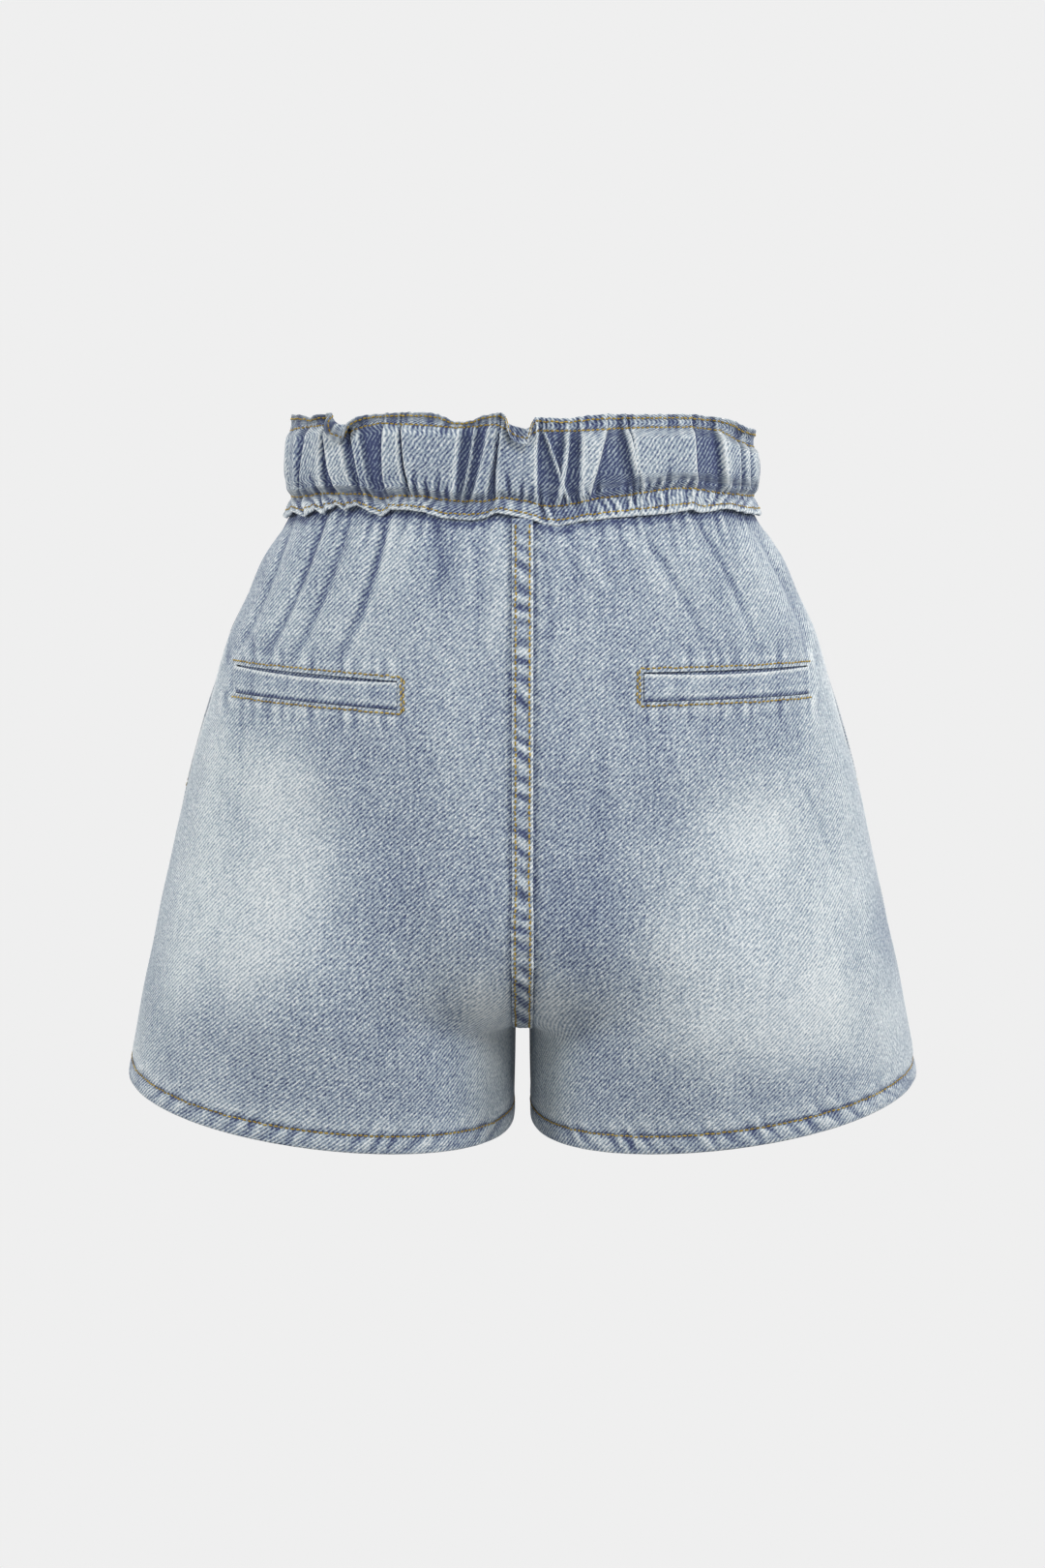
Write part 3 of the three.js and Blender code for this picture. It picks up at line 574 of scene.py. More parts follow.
def cloth(name, outer, inner, uv, marks, keep=None, ring=False, faced=None):
    """Makes the piece that stands for the CAD node of this name: a closed wall between two grids of points,
    rows by columns, with its pattern's own coordinates. marks are the grids faded, ridge and hollow, where
    hollow is both unfaded indigo and painted shade. keep says which cells of the grid there is cloth in,
    faced how much the inside shows its reverse."""
    rows, across = outer.shape[:2]
    cells = across if ring else across - 1
    keep = np.ones((rows - 1, cells), bool) if keep is None else keep
    layer = rows * across
    j, i = np.meshgrid(np.arange(rows - 1), np.arange(cells), indexing="ij")
    a, b = j * across + i, j * across + (i + 1) % across
    c, d = (j + 1) * across + (i + 1) % across, (j + 1) * across + i
    faces = [np.stack([a, d, c, b], -1)[keep], np.stack([a, b, c, d], -1)[keep] + layer]
    wrap = ring & (i == across - 1)
    turns = [np.stack([0 * a, 0 * a, wrap, wrap], -1)[keep], np.stack([0 * a, wrap, wrap, 0 * a], -1)[keep]]

    def rim(mask, first, second):
        f, s = first[mask], second[mask]
        faces.append(np.stack([f, s, s + layer, f + layer], -1))
        turns.append(np.zeros((len(f), 4), int))

    solid = np.pad(keep, ((1, 1), (1, 1)), constant_values=False)
    if ring:
        solid[1:-1, 0], solid[1:-1, -1] = keep[:, -1], keep[:, 0]
    rim(keep & ~solid[:-2, 1:-1], a, b)
    rim(keep & ~solid[2:, 1:-1], c, d)
    rim(keep & ~solid[1:-1, :-2], d, a)
    rim(keep & ~solid[1:-1, 2:], b, c)
    faces, turns = np.concatenate(faces), np.concatenate(turns)
    points = np.concatenate([outer.reshape(-1, 3), inner.reshape(-1, 3)]) * MM
    corners = points[faces]
    volume = np.einsum("ij,ij->i", corners[:, 0], np.cross(corners[:, 1], corners[:, 2])).sum()
    volume += np.einsum("ij,ij->i", corners[:, 0], np.cross(corners[:, 2], corners[:, 3])).sum()
    if volume < 0:
        faces, turns = faces[:, ::-1], turns[:, ::-1]
    used, place = np.unique(faces, return_inverse=True)
    place = place.reshape(faces.shape)

    mesh = bpy.data.meshes.new(name)
    mesh.vertices.add(len(used))
    mesh.vertices.foreach_set("co", points[used].ravel())
    mesh.loops.add(place.size)
    mesh.loops.foreach_set("vertex_index", place.ravel().astype(np.int32))
    mesh.polygons.add(len(place))
    mesh.polygons.foreach_set("loop_start", np.arange(0, place.size, 4, dtype=np.int32))
    mesh.update(calc_edges=True)
    u, v = uv[0].ravel(), uv[1].ravel()
    girth = (u.max() - u.min()) * (1 + 1 / max(cells, 1)) if ring else 0
    both = np.concatenate([np.stack([u, v], -1), np.stack([u, v], -1)])[faces]
    both[..., 0] += turns * girth
    layer_uv = mesh.uv_layers.new(name="cloth")
    layer_uv.data.foreach_set("uv", (both.reshape(-1, 2) * MM).ravel().astype(np.float32))
    faded, ridge, hollow = [np.tile(m.ravel(), 2)[used] for m in marks]
    inside = (used >= layer) * (np.tile(faced.ravel(), 2)[used] if faced is not None else 1.0)
    colours = mesh.color_attributes.new("wear", "FLOAT_COLOR", "POINT")
    colours.data.foreach_set("color", np.stack([faded, ridge, hollow, np.ones_like(faded)], -1).ravel())
    store(mesh, "reverse", "FLOAT", inside)
    mesh.polygons.foreach_set("use_smooth", np.ones(len(place), bool))
    mesh.set_sharp_from_angle(angle=math.radians(55))
    mesh.validate()
    piece = pieces[name] = add_object(name + "_cloth", mesh)
    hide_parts(name)


def spread_out(knots, counts, crowd=1.0):
    """Grid lines through the knots, which may be arrays, with counts cells between each two.
    crowd over 1 draws the first stretch's lines together towards its start."""
    lines = []
    for k, count in enumerate(counts):
        for n in range(count):
            lines.append(mix(knots[k], knots[k + 1], (n / count) ** (crowd if k == 0 else 1.0)))
    lines.append(knots[-1])
    return lines


def lengths(points, axis):
    step = np.linalg.norm(np.diff(points, axis=axis), axis=-1)
    zero = np.zeros_like(np.take(step, [0], axis=axis))
    return np.cumsum(np.concatenate([zero, step], axis=axis), axis=axis)


def grain(points, middle=60):
    """How far each point lies round its row from the straight line down the panel's middle."""
    run, out = lengths(points, 1), np.abs(points[..., 0])
    order = np.argsort(out, axis=1)
    at = [np.interp(middle, out[j, order[j]], run[j, order[j]]) for j in range(len(run))]
    return run - np.array(at)[:, None]


# Stitch rows as they are found: runs of points on the cloth with the direction out of it.
seams = {"waist": [], "body": []}


def along_run(at, run, values):
    return np.stack([np.interp(at, run, values[:, k]) for k in range(3)], -1)


def row_of_stitches(group, points, outs, pitch=STITCH, raised=0.22, jitter=1.0):
    """Even stitches along a run of points, each with its middle, its direction and the way out."""
    run = lengths(points, 0)
    count = max(1, int(run[-1] / pitch))
    at = (np.arange(count) + 0.5) / count * run[-1]
    middle, out = along_run(at, run, points), along_run(at, run, outs)
    along = along_run(at + 0.6, run, points) - along_run(at - 0.6, run, points)
    out = unit(out)
    along = unit(along - out * (along * out).sum(-1, keepdims=True))
    rng = np.random.default_rng(len(points) + int(abs(points[0, 0]) * 10))
    across = np.cross(out, along)
    along = along + across * rng.normal(0, 0.07 * jitter, (count, 1))
    middle = middle + out * raised + across * rng.normal(0, 0.12 * jitter, (count, 1))
    length = pitch * rng.uniform(0.78, 0.9, count)
    seams[group].append((middle, along, out, length))


def surface_normals(points):
    """Directions out of a grid of points, as its own shape gives them."""
    return unit(np.cross(np.gradient(points, axis=1), np.gradient(points, axis=0)))


# Back panels.
def window_top(window, x):
    u = clamp01((np.abs(x) - window["inner"]) / (window["outer"] - window["inner"]))
    return window["top"] + window["rise"] * u


def back_grid(window):
    """turn and z of a back panel's grid, its lines falling on the edges of the welt's window."""
    middle = window["top"] + window["rise"] / 2 - window["deep"] / 2
    n_turn, n_z = BACK_CELLS
    z0 = np.array(spread_out([PANEL_REACH, middle + 7.3, middle - 7.3, PANEL_BASE], n_z, 1.4))[:, None]
    held = np.clip(z0, middle - 12, middle + 12)
    first = np.full_like(z0, SEAM_TURN)
    turn = np.concatenate(
        spread_out([first, turn_at(window["inner"], held), turn_at(window["outer"], held),
                    side_turn(z0) - SEAM_TURN], n_turn, 1.9), 1)
    x = section(turn, z0 + 0 * turn)[0]
    top = window_top(window, x)
    foot = top - window["deep"]
    start, end = np.full_like(top[0], PANEL_REACH), np.full_like(top[0], PANEL_BASE)
    knots = [start, top[n_z[0]], foot[n_z[0] + n_z[1]], end]
    return turn, np.array(spread_out(knots, n_z, 1.4)), n_turn, n_z


def welt_distance(window, x, z):
    """How far a place lies from the welt's window, and how far over its top or under its foot."""
    top = window_top(window, x)
    foot = top - window["deep"]
    over = np.maximum(window["inner"] - np.abs(x), np.abs(x) - window["outer"])
    up = np.maximum(z - top, foot - z)
    return np.hypot(np.maximum(over, 0), np.maximum(up, 0)), up


def panel_wear_and_shade(relief, x, z, height, front, seam_shade):
    """How faded, proud and hollow a panel is by its folds and hem, with painted shade by hem, waist, band and
    seam.
    """
    ridge, hollow = worn(relief, 8, 0.8)
    faded = fades(x, height, front) + 0.22 * bell((z - HEM - HEM_PALE) / HEM_PALE_HALF)
    # Besides the valleys' unfaded indigo, hollow gets painted shade by the hem, under the waist and band's
    # foot, and beside the seam.
    hollow = (hollow * 0.8 + 0.5 * bell((z - HEM - HEM_SHADE) / HEM_SHADE_HALF)
              + 0.15 * smooth((z - WAIST_SHADE) / WAIST_SHADE_SPAN) + under_band(x, z, front)
              + seam_shade * bell((np.abs(x) - SEAM_SHADE) / SEAM_SHADE_HALF))
    return faded, ridge, hollow


def make_back_panel(side, name):
    window = WELTS[name]
    turn, z, n_turn, n_z = back_grid(window)
    point, out = body_place(side, turn, z)
    x, height = point[..., 0], point[..., 2]
    relief = panel_relief(x, height, False)
    distance, up = welt_distance(window, x, z)
    calm = 1 - 0.75 * bell(distance / 9)
    relief = relief * calm
    relief += 0.25 * bell((distance - 4.2) / 2.6) + stitch_dip(distance - WELT_ROW)
    pucker = bell((distance - 5) / 6) * ripple(x, 31, (5.3, 7.7, 11.9)) * (up > -1)
    relief += 0.4 * pucker
    relief += hem_puckers(side, x, z, False)
    relief += stitch_dip(z - HEM - HEM_DIP)
    relief += fell_dip(x, z)
    stand = drawn_in(relief, x, z, False)
    outer, inner = both_faces(point, out, stand, side)
    u = grain(point) * side
    faded, ridge, hollow = panel_wear_and_shade(relief, x, z, height, False, 0.25)
    from_side = 1 - turn / side_turn(z)
    faded = faded + 0.35 * bell(from_side / 0.07)
    ridge = clamp01(ridge + 0.35 * bell(distance / 0.9) + 0.45 * bell((from_side - 0.01) / 0.016))
    ridge = clamp01(ridge + 0.35 * clamp01(1.5 * pucker))
    # The table of shaded places adds painted shade to the panel's hollow.
    hollow = clamp01(hollow + 0.4 * clamp01(-1.5 * pucker) + spots(SHADED_SPOTS, x, height))
    keep = np.ones((z.shape[0] - 1, z.shape[1] - 1), bool)
    keep[n_z[0]:n_z[0] + n_z[1], n_turn[0]:n_turn[0] + n_turn[1]] = False
    cloth(f"back_panel_{name}", outer, inner, (u, z), (clamp01(faded), ridge, hollow), keep)


def patch(side, window, ends, top, foot, cells, shape, sag=0.0):
    """A grid over a welt's window, its edges moved by the margins given: its places on the body, outside
    and inside, its shares across and down, and its levels. shape gives the heights of the two faces, and
    sag how much less of the top margin there is at the ends than in the middle."""
    columns, rows = cells
    u, v = np.meshgrid(np.linspace(0, 1, columns + 1), np.linspace(0, 1, rows + 1))
    across = mix(window["inner"] - ends, window["outer"] + ends, u)
    line = window["top"] + window["rise"] * u
    top = top * (1 - sag * (1 - np.sin(math.pi * u)))
    z = mix(line + top, line - window["deep"] - foot, v)
    turn = turn_at(across, z)
    point, out = body_place(side, turn, z)
    outside, inside = shape(u, v, point)
    return point, point + out * outside[..., None], point + out * inside[..., None], u, v, z


def make_welt(side, name):
    window = WELTS[name]

    def shape(u, v, point):
        relief = 0.25 * folds_at(point, False)
        lip = 0.75 * bell(v / 0.10)
        belly = 0.35 * np.sin(math.pi * clamp01(v))
        puckers = 0.13 * ripple(point[..., 0], 51, (5.1, 8.3, 14.2))
        foot = -0.55 * smooth((v - 0.82) / 0.18)
        outside = CLOTH / 2 + 0.2 + relief + lip + belly + puckers + foot
        rounded = 0.5 * smooth((0.06 - v) / 0.06)
        return outside - rounded, relief - CLOTH / 2 + rounded * 0.6

    point, outer, inner, _, v, z = patch(
        side, window, -WELT_GAP, -SLIT * 0.85, -WELT_GAP, WELT_CELLS, shape, 0.6)
    run = lengths(point, 1) * side
    ridge = clamp01(1.3 * bell((v - 0.05) / 0.07) + 0.3 * bell((v - 0.76) / 0.08))
    hollow = clamp01(0.9 * smooth((v - 0.86) / 0.1) + 0.15 * (1 + ripple(point[..., 0], 52, (9, 17))))
    faded = 0.25 + 0.1 * ripple(point[..., 0], 53, (17, 31))
    cloth(f"back_welt_{name}", outer, inner, (run, z), (clamp01(faded), ridge, hollow))


def make_pocket(side, name):
    window = WELTS[name]
    behind = -CLOTH / 2 - POCKET_GAP

    def shape(u, v, point):
        flat = np.zeros_like(u) + behind + 0.25 * ripple(point[..., 0], 61, (11, 19))
        return flat, flat - CLOTH

    margin = POCKET_MARGIN
    point, outer, inner, u, _, z = patch(side, window, margin, margin, margin, POCKET_CELLS, shape)
    run = lengths(point, 1) * side
    # The pocket's hollow is raised all over: painted shade inside the slit.
    cloth(f"back_pocket_{name}", outer, inner, (run, z), (0 * u, 0 * u, 0.22 + 0 * u))


# Front panels and hip pockets.
def make_front_panel(side, name):
    n_turn, n_z = FRONT_CELLS
    z = mix(PANEL_REACH, PANEL_BASE, np.linspace(0, 1, n_z + 1) ** 1.25)[:, None]
    share = np.linspace(0, 1, n_turn + 1)[None, :]
    start = mouth_turn(z) + SEAM_TURN
    turn = mix(start, 2 - SEAM_TURN, 1 - (1 - share) ** 1.5)
    z = z + 0 * turn
    point, out = body_place(side, turn, z)
    x, height = point[..., 0], point[..., 2]
    relief = panel_relief(x, height, True)
    from_mouth = (turn - start) * CLOTH_A_TURN
    open_ = smooth((z - MOUTH_BOTTOM + 2) / 8)
    relief = relief * (1 - 0.6 * bell(from_mouth / 8) * open_)
    relief += open_ * (0.45 * bell((from_mouth - 0.5) / 1.6)
                       + stitch_dip(from_mouth - MOUTH_ROWS[0]) + stitch_dip(from_mouth - MOUTH_ROWS[1]))
    relief += hem_puckers(side, x, z, True) + stitch_dip(z - HEM - HEM_DIP)
    relief += fell_dip(x, z)
    stand = drawn_in(relief, x, z, True)
    outer, inner = both_faces(point, out, stand, side)
    u = -grain(point) * side
    faded, ridge, hollow = panel_wear_and_shade(relief, x, z, height, True, 0.45)
    faded = clamp01(faded + 0.3 * open_ * bell((from_mouth - 5) / 4))
    ridge = clamp01(ridge + 0.8 * open_ * bell(from_mouth / 0.9)
                    + 0.4 * (1 - open_) * bell(from_mouth / 1.2))
    cloth(f"front_panel_{name}", outer, inner, (u, z), (faded, ridge, clamp01(hollow)))
    rows = np.nonzero(z[:, 0] > MOUTH_BOTTOM - 4)[0]
    normals = surface_normals(outer)
    normals = normals * np.sign((normals * out).sum(-1, keepdims=True))
    for inset in MOUTH_ROWS:
        share_at = [np.interp(inset, from_mouth[j], np.arange(n_turn + 1)) for j in rows]
        low = np.floor(share_at).astype(int)
        part = (np.array(share_at) - low)[:, None]
        run = outer[rows, low] * (1 - part) + outer[rows, low + 1] * part
        row_of_stitches("body", run[2:], normals[rows, low][2:])


def make_facing(side, name):
    """The cloth that shows in the mouth of the hip pocket, under the front panel's edge."""
    n_turn, n_z = FACING_CELLS
    z = np.linspace(PANEL_REACH, MOUTH_BOTTOM + FACING_BELOW, n_z + 1)[:, None]
    share = np.linspace(0, 1, n_turn + 1)[None, :]
    turn = mix(side_turn(z) + SEAM_TURN, mouth_turn(z) + FACING_UNDER, share)
    z = z + 0 * turn
    point, out = body_place(side, turn, z)
    shown = (turn - side_turn(z)) / np.maximum(mouth_width(z), 1e-3)
    closing = 1 - smooth(mouth_width(z) / 0.05)
    sunk = -(CLOTH + LAYER_GAP) * np.maximum(closing, smooth(shown / 0.8))
    relief = folds_at(point, True) * 0.5 * (1 - smooth(shown)) + 0.15 * ripple(z, 71, (14, 23, 41))
    stand = sunk + drawn_in(relief, point[..., 0], z, True)
    outer, inner = both_faces(point, out, stand)
    u = lengths(point, 1) * side
    ridge = 0.25 * bell((shown - 0.3) / 0.2)
    # Darker all over and along the side seam; towards the front panel's edge, where it runs under, painted
    # shade.
    hollow = clamp01(0.32 + 0.5 * bell(shown / 0.08) + 0.5 * smooth((shown - 0.6) / 0.4))
    cloth(f"hip_pocket_facing_{name}", outer, inner, (u, z), (0.15 + 0 * u, ridge, hollow))


# Hems.
def make_hem(side, name):
    columns = HEM_COLUMNS
    r = HEM_CLOTH / 2
    drop = [0, 0.6, 1.4, 2.6, 4.0, 5.6, 7.0, HEM_DEPTH - SEAM_GAP - r]
    levels = [HEM + HEM_DEPTH - SEAM_GAP - d for d in drop]
    shut = [1.0] * len(levels)
    for angle in (25, 50, 72, 90):
        levels.append(HEM + r * (1 - math.sin(math.radians(angle))))
        shut.append(math.cos(math.radians(angle)))
    levels, shut = np.array(levels)[:, None], np.maximum(np.array(shut)[:, None], 0.06)
    turn = np.arange(columns)[None, :] * 2 / columns
    z = levels + 0 * turn
    turn = turn + 0 * levels
    point, out = body_place(side, turn, z)
    x = point[..., 0]
    relief = leg_puckers(side, turn, x, z) + stitch_dip(z - HEM - HEM_DIP)
    relief += 0.3 * bell((z - HEM - 4.5) / 3)
    middle = CLOTH / 2 + 0.15 - r
    outer = point + out * (middle + r * shut + relief)[..., None]
    inner = point + out * (middle - r * shut + relief)[..., None]
    u = lengths(point, 1) * side
    ridge, hollow = worn(relief, 8, 0.5, ring=True)
    ridge = clamp01(1.2 * ridge + 0.7 * bell((z - HEM) / 1.8))
    hollow = clamp01(1.4 * hollow + 0.2 + 0.15 * ripple(x, 81, (29, 47)))
    cloth(f"leg_hem_{name}", outer, inner, (u, z), (0.1 + 0 * u, ridge, hollow), ring=True)
    turns, row = np.linspace(0, 2, HEM_POINTS), np.full(HEM_POINTS, HEM + HEM_ROW)
    spot, way = body_place(side, turns, row)
    lie = leg_puckers(side, turns, spot[..., 0], row)
    row_of_stitches("body", spot + way * (CLOTH / 2 - 0.3 + lie)[:, None], way)


# Felled centre seams.
def fell_turn(z, front):
    turns = np.linspace(SEAM_TURN, 0.1, SEAM_TURNS)
    t = 2 - turns if front else turns
    out = []
    for level in np.atleast_1d(z):
        x, y = section(t, np.full_like(t, level))
        x0, y0 = section(np.array([2.0 if front else 0.0]), np.array([level]))
        reach = np.hypot(x - x0, y - y0)
        out.append(np.interp(FELL_HALF, reach, turns) if reach[-1] > FELL_HALF else 0.1)
    return np.array(out)


def bridge(point, out, width, z, front):
    """Lays the seam flat across the groove that the two legs leave towards the crotch."""
    turns = np.linspace(SEAM_TURN, 0.12, SEAM_TURNS)
    behind, lifted = np.zeros(len(z)), np.zeros(len(z))
    for n, level in enumerate(z[:, 0]):
        x, y = section(2 - turns if front else turns, np.full(SEAM_TURNS, level))
        behind[n] = np.interp(FELL_HALF + 0.8, x, y)
        lifted[n] = level + lift(2.0 if front else 0.0, level)
    away = 1.0 if front else -1.0
    slope = np.gradient(behind, lifted)
    flat = np.stack([width, behind[:, None] - 0.012 * away * width ** 2, lifted[:, None] + 0 * width], -1)
    across = unit(np.stack([0.05 * width, away + 0 * width, -away * slope[:, None] + 0 * width], -1))
    share = smooth((BRIDGE_TOP - z) / BRIDGE_SPAN)[..., None]
    return mix(point, flat, share), unit(mix(out, across, share))


def make_felled_seam(front):
    columns, n_z = FELL_CELLS
    top = FELL_TOP + FELL_CLEAR[front]
    z = np.linspace(top, CROTCH + 1.2, n_z + 1)
    edge = fell_turn(z, front)[:, None]
    share = np.linspace(-1, 1, columns + 1)[None, :]
    z = z[:, None] + 0 * share
    turn = edge * np.abs(share)
    side = np.where(share < 0, -1.0, 1.0) + 0 * turn
    turn = 2 - turn if front else turn
    point, out = body_place(side, turn, z)
    point[..., 0] = np.where(np.abs(share) < 1e-6, 0, point[..., 0])
    width = share * FELL_HALF + 0 * z
    point, out = bridge(point, out, width, z, front)
    body = folds_at(point, front)
    slant = 0.5 + 0.5 * ripple(z, 93, (71, 113))
    wave = np.sin(2 * math.pi * (z + slant * width + 3.4 * ripple(z, 91, (31, 47, 83))) / PUCKER_WAVE)
    wave = wave * clamp01(0.7 + 0.6 * ripple(z, 94, (23, 41)))
    lap = 0.5 * smooth((share - 0.5) / 0.2) * smooth((1.0 - share) / 0.08)
    edges = smooth((1 - np.abs(share)) / 0.14)
    relief = (0.42 * wave * bell(share / 0.8) + lap
              + stitch_dip(width - FELL_ROW) + stitch_dip(width + FELL_ROW)
              + 0.08 * ripple(z + width, 92, (3.1, 4.7)))
    base = CLOTH / 2 + FELL_RISE
    outer = point + out * (base + FELL_CLOTH * (0.35 + 0.65 * edges) + 0.9 * body + relief * edges)[..., None]
    inner = point + out * (base - 0.25 + 0.9 * body)[..., None]
    ridge = clamp01(0.75 * clamp01(wave) + 0.95 * bell((share - 0.88) / 0.1)
                    + 0.4 * bell((share + 0.93) / 0.08))
    hollow = clamp01(1.15 * clamp01(-wave) * bell(share / 0.85) + 0.1 + under_band(width, z, front))
    name = "centre_front_seam" if front else "centre_back_seam"
    cloth(name, outer, inner, (width + 0 * z, z), (0.12 + 0 * z, ridge + 0 * z, hollow))
    for offset in (-FELL_ROW, FELL_ROW):
        at = np.interp(offset, width[0], np.arange(columns + 1))
        low, part = int(at), at - int(at)
        run = outer[:, low] * (1 - part) + outer[:, low + 1] * part
        row_of_stitches("body", run[2:-2], out[:, low][2:-2], jitter=1.3)


# Waistband.
def casing_relief(x, z, front):
    """Height of the gathered casing over its valleys at a place, how pale and how shaded it is there."""
    gx = band_x(x, front)
    up = clamp01((z - CASING_BASE) / (FRILL_BASE - CASING_BASE))
    total, pale, shade = np.zeros_like(gx), np.zeros_like(gx), np.zeros_like(gx)
    for top_left, top_right, foot_left, foot_right, height, worn_pale in CASING_STRIPS:
        bow = 0.9 * np.sin(math.pi * up) * math.sin(top_left * 1.3)
        left, right = mix(foot_left, top_left, up) + bow, mix(foot_right, top_right, up) + bow
        wide = right - left
        soft = np.minimum(1.8, 0.4 * wide + 0.5)
        t = clamp01((gx - left) / wide)
        rise = smooth((gx - left) / soft + 0.5) * smooth((right - gx) / soft + 0.5)
        sag = 0.2 * smooth(wide / 16) * np.sin(math.pi * t)
        total = np.maximum(total, height * rise * (1 - sag))
        edge = bell((gx - left - 0.8) / 0.8) + bell((right - 0.8 - gx) / 0.8)
        pale = np.maximum(pale, rise * (worn_pale + edge))
        beside = bell((gx - left + 1.1) / 1.0) + bell((gx - right - 1.1) / 1.0)
        shade = np.maximum(shade, np.where(t * (1 - t) > 0, 0, beside))
    shade = shade * (1 - smooth(total / 2.0))
    for place, top, lean in CASING_CREASES:
        line = place + lean * (z - CASING_BASE)
        fade = 1 - smooth((z - CASING_BASE) / (top + 5 - CASING_BASE))
        total = total - 2.4 * fade * bell((gx - line) / 1.2)
        pale = np.maximum(pale, 0.9 * fade * bell((gx - line - 2.1) / 1.0))
        shade = shade + 1.6 * fade * bell((gx - line) / 1.1)
    return total, pale, clamp01(shade)


def short_gathers(x, z, front):
    """Short tight gathers against the casing's sewn lines: their wave and how strong they are at a place."""
    gx = band_x(x, front)
    lean = 0.35 * np.sin(gx / 17.0)
    wave = ripple(gx + lean * (z - CASING_BASE), 101, (3.3, 4.7, 6.1, 9.3))
    patchy = clamp01(0.55 + 0.65 * ripple(gx, 102, (27, 43)))
    foot = bell((z - CASING_BASE - 1.0) / 6.5) * patchy
    head = bell((z - FRILL_BASE - 1) / 4.0) * (1.1 - patchy)
    return wave, foot + 0.55 * head


def flop_at(flop, way_up):
    """The frill's slope outwards at a length up its cloth, growing from slightly inwards to its flop."""
    return flop * smooth(way_up / 5.0 + 0.1) - 0.15


def waistband_surface(round_, level, front):
    """The waistband's outside at a place round it (-1 to 1) and a level up it, the way through the cloth
    and how thick that is, and the relief and gathers that its wear and painted shade follow. Above the
    frill's base the level is measured along the cloth."""
    round_, level = np.broadcast_arrays(np.asarray(round_, float), np.asarray(level, float))
    share = np.minimum(1 - SEAM_TURN, np.abs(round_))
    side = np.where(round_ < 0, -1.0, 1.0)
    turn = 2 - share if front else share
    z = np.minimum(level, FRILL_BASE)
    point, out = body_place(side, turn, z)
    point[..., 0] = np.where(share < 1e-6, 0, point[..., 0])
    x = point[..., 0]
    gx = band_x(x, front)
    joined = smooth((share - JOIN_START) / JOIN_SPAN)
    upper = round_table(UPPER_ROW, x, front) * smooth((2 - z) / 14)
    foot = round_table(BAND_FOOT, x, front)
    down = clamp01((CASING_BASE - z) / (CASING_BASE - BAND_EDGE))
    point[..., 2] += mix(upper, foot, down)
    row = round_table(FRILL_ROW, x, front)
    point[..., 2] += row * smooth((z - 1) / (FRILL_BASE - 1))
    casing, pale, shade = casing_relief(x, z, front)
    gather, tight = short_gathers(x, z, front)
    casing, shade, tight = mix(casing, 3.0, joined), shade * (1 - joined), tight * (1 - 0.7 * joined)
    sewn_low = smooth((z - CASING_BASE) / 5.0)
    sewn_high = 0.55 + 0.45 * smooth((FRILL_BASE - z) / 4.0)
    swell = np.where(
        z >= CASING_BASE,
        1.4 * np.sin(math.pi * clamp01((z - CASING_BASE) / (FRILL_BASE - CASING_BASE))) ** 0.7,
        0.5 * np.sin(math.pi * clamp01((z - BAND_EDGE) / (CASING_BASE - BAND_EDGE))))
    relief = casing * mix(0.3, 1.0, sewn_low) * sewn_high + 2.5 * gather * tight
    below = smooth((CASING_BASE + 1 - z) / 3.0)
    slant = gx + 0.5 * (z - CASING_BASE) * np.sin(gx / 23)
    tucks = ripple(slant, 103, (4.1, 5.7, 8.3)) * (0.65 + 0.45 * ripple(gx, 104, (31, 53)))
    tucks = tucks * (1 - joined)
    relief = relief + below * 1.25 * tucks * np.sin(math.pi * clamp01((z - BAND_EDGE) / 12.5)) ** 0.6
    relief += (stitch_dip(z - CASING_BASE - CASING_ROW) + stitch_dip(z - BAND_EDGE - BAND_ROW)
               + stitch_dip(level - FRILL_BASE))
    relief += panel_relief(x, z - 10, front) * 0.35 * below
    offset = CLOTH / 2 + LAYER_GAP + 0.6 + swell + relief

    # The frill stands up from the casing's top and flops out where the table says.
    height = np.maximum(level - FRILL_BASE, 0)
    rise = round_table(FRILL, x, front) + 0.45 * (1 - joined) * ripple(gx, 109, (3.7, 5.9, 9.1))
    flop = np.radians(round_table(FRILL, x, front, 2, 0.35))
    full = FRILL_TOP - FRILL_BASE
    true = height / full * (full + rise - row + 3.2 * smooth((flop - 1.2) / 1.0))
    climb, reach = np.zeros_like(true), np.zeros_like(true)
    for k in range(FRILL_STEPS):
        bend = flop_at(flop, true * (k + 0.5) / FRILL_STEPS)
        climb += np.cos(bend) * true / FRILL_STEPS
        reach += np.sin(bend) * true / FRILL_STEPS
    frill = height / full
    crimp = (1.6 * frill ** 0.8 * ripple(gx, 105, (5.3, 7.9, 12.7, 19.0))
             + 0.35 * frill * ripple(gx, 106, (2.3, 3.3)))
    crimp = crimp * (1 - joined)
    relief = relief * (1 - 0.55 * frill) + crimp * 0.9
    crimp = crimp * (1 - 0.5 * smooth((flop - 1) / 1))
    offset = offset - np.where(height > 0, 0.3 * casing * smooth(frill * 2) * sewn_high, 0)
    outside = point + out * (offset + reach + crimp)[..., None]
    outside[..., 2] += climb
    # The way through the cloth turns as the frill flops.
    bend = np.where(height > 0, flop_at(flop, true), 0)
    through = out * np.cos(bend)[..., None]
    through[..., 2] -= np.sin(bend)
    thick = BAND_CLOTH * (1 - FRILL_THINNER * frill)
    wear = (casing, gx, pale, shade, gather * clamp01(tight), tucks)
    return outside, through, thick, relief, wear


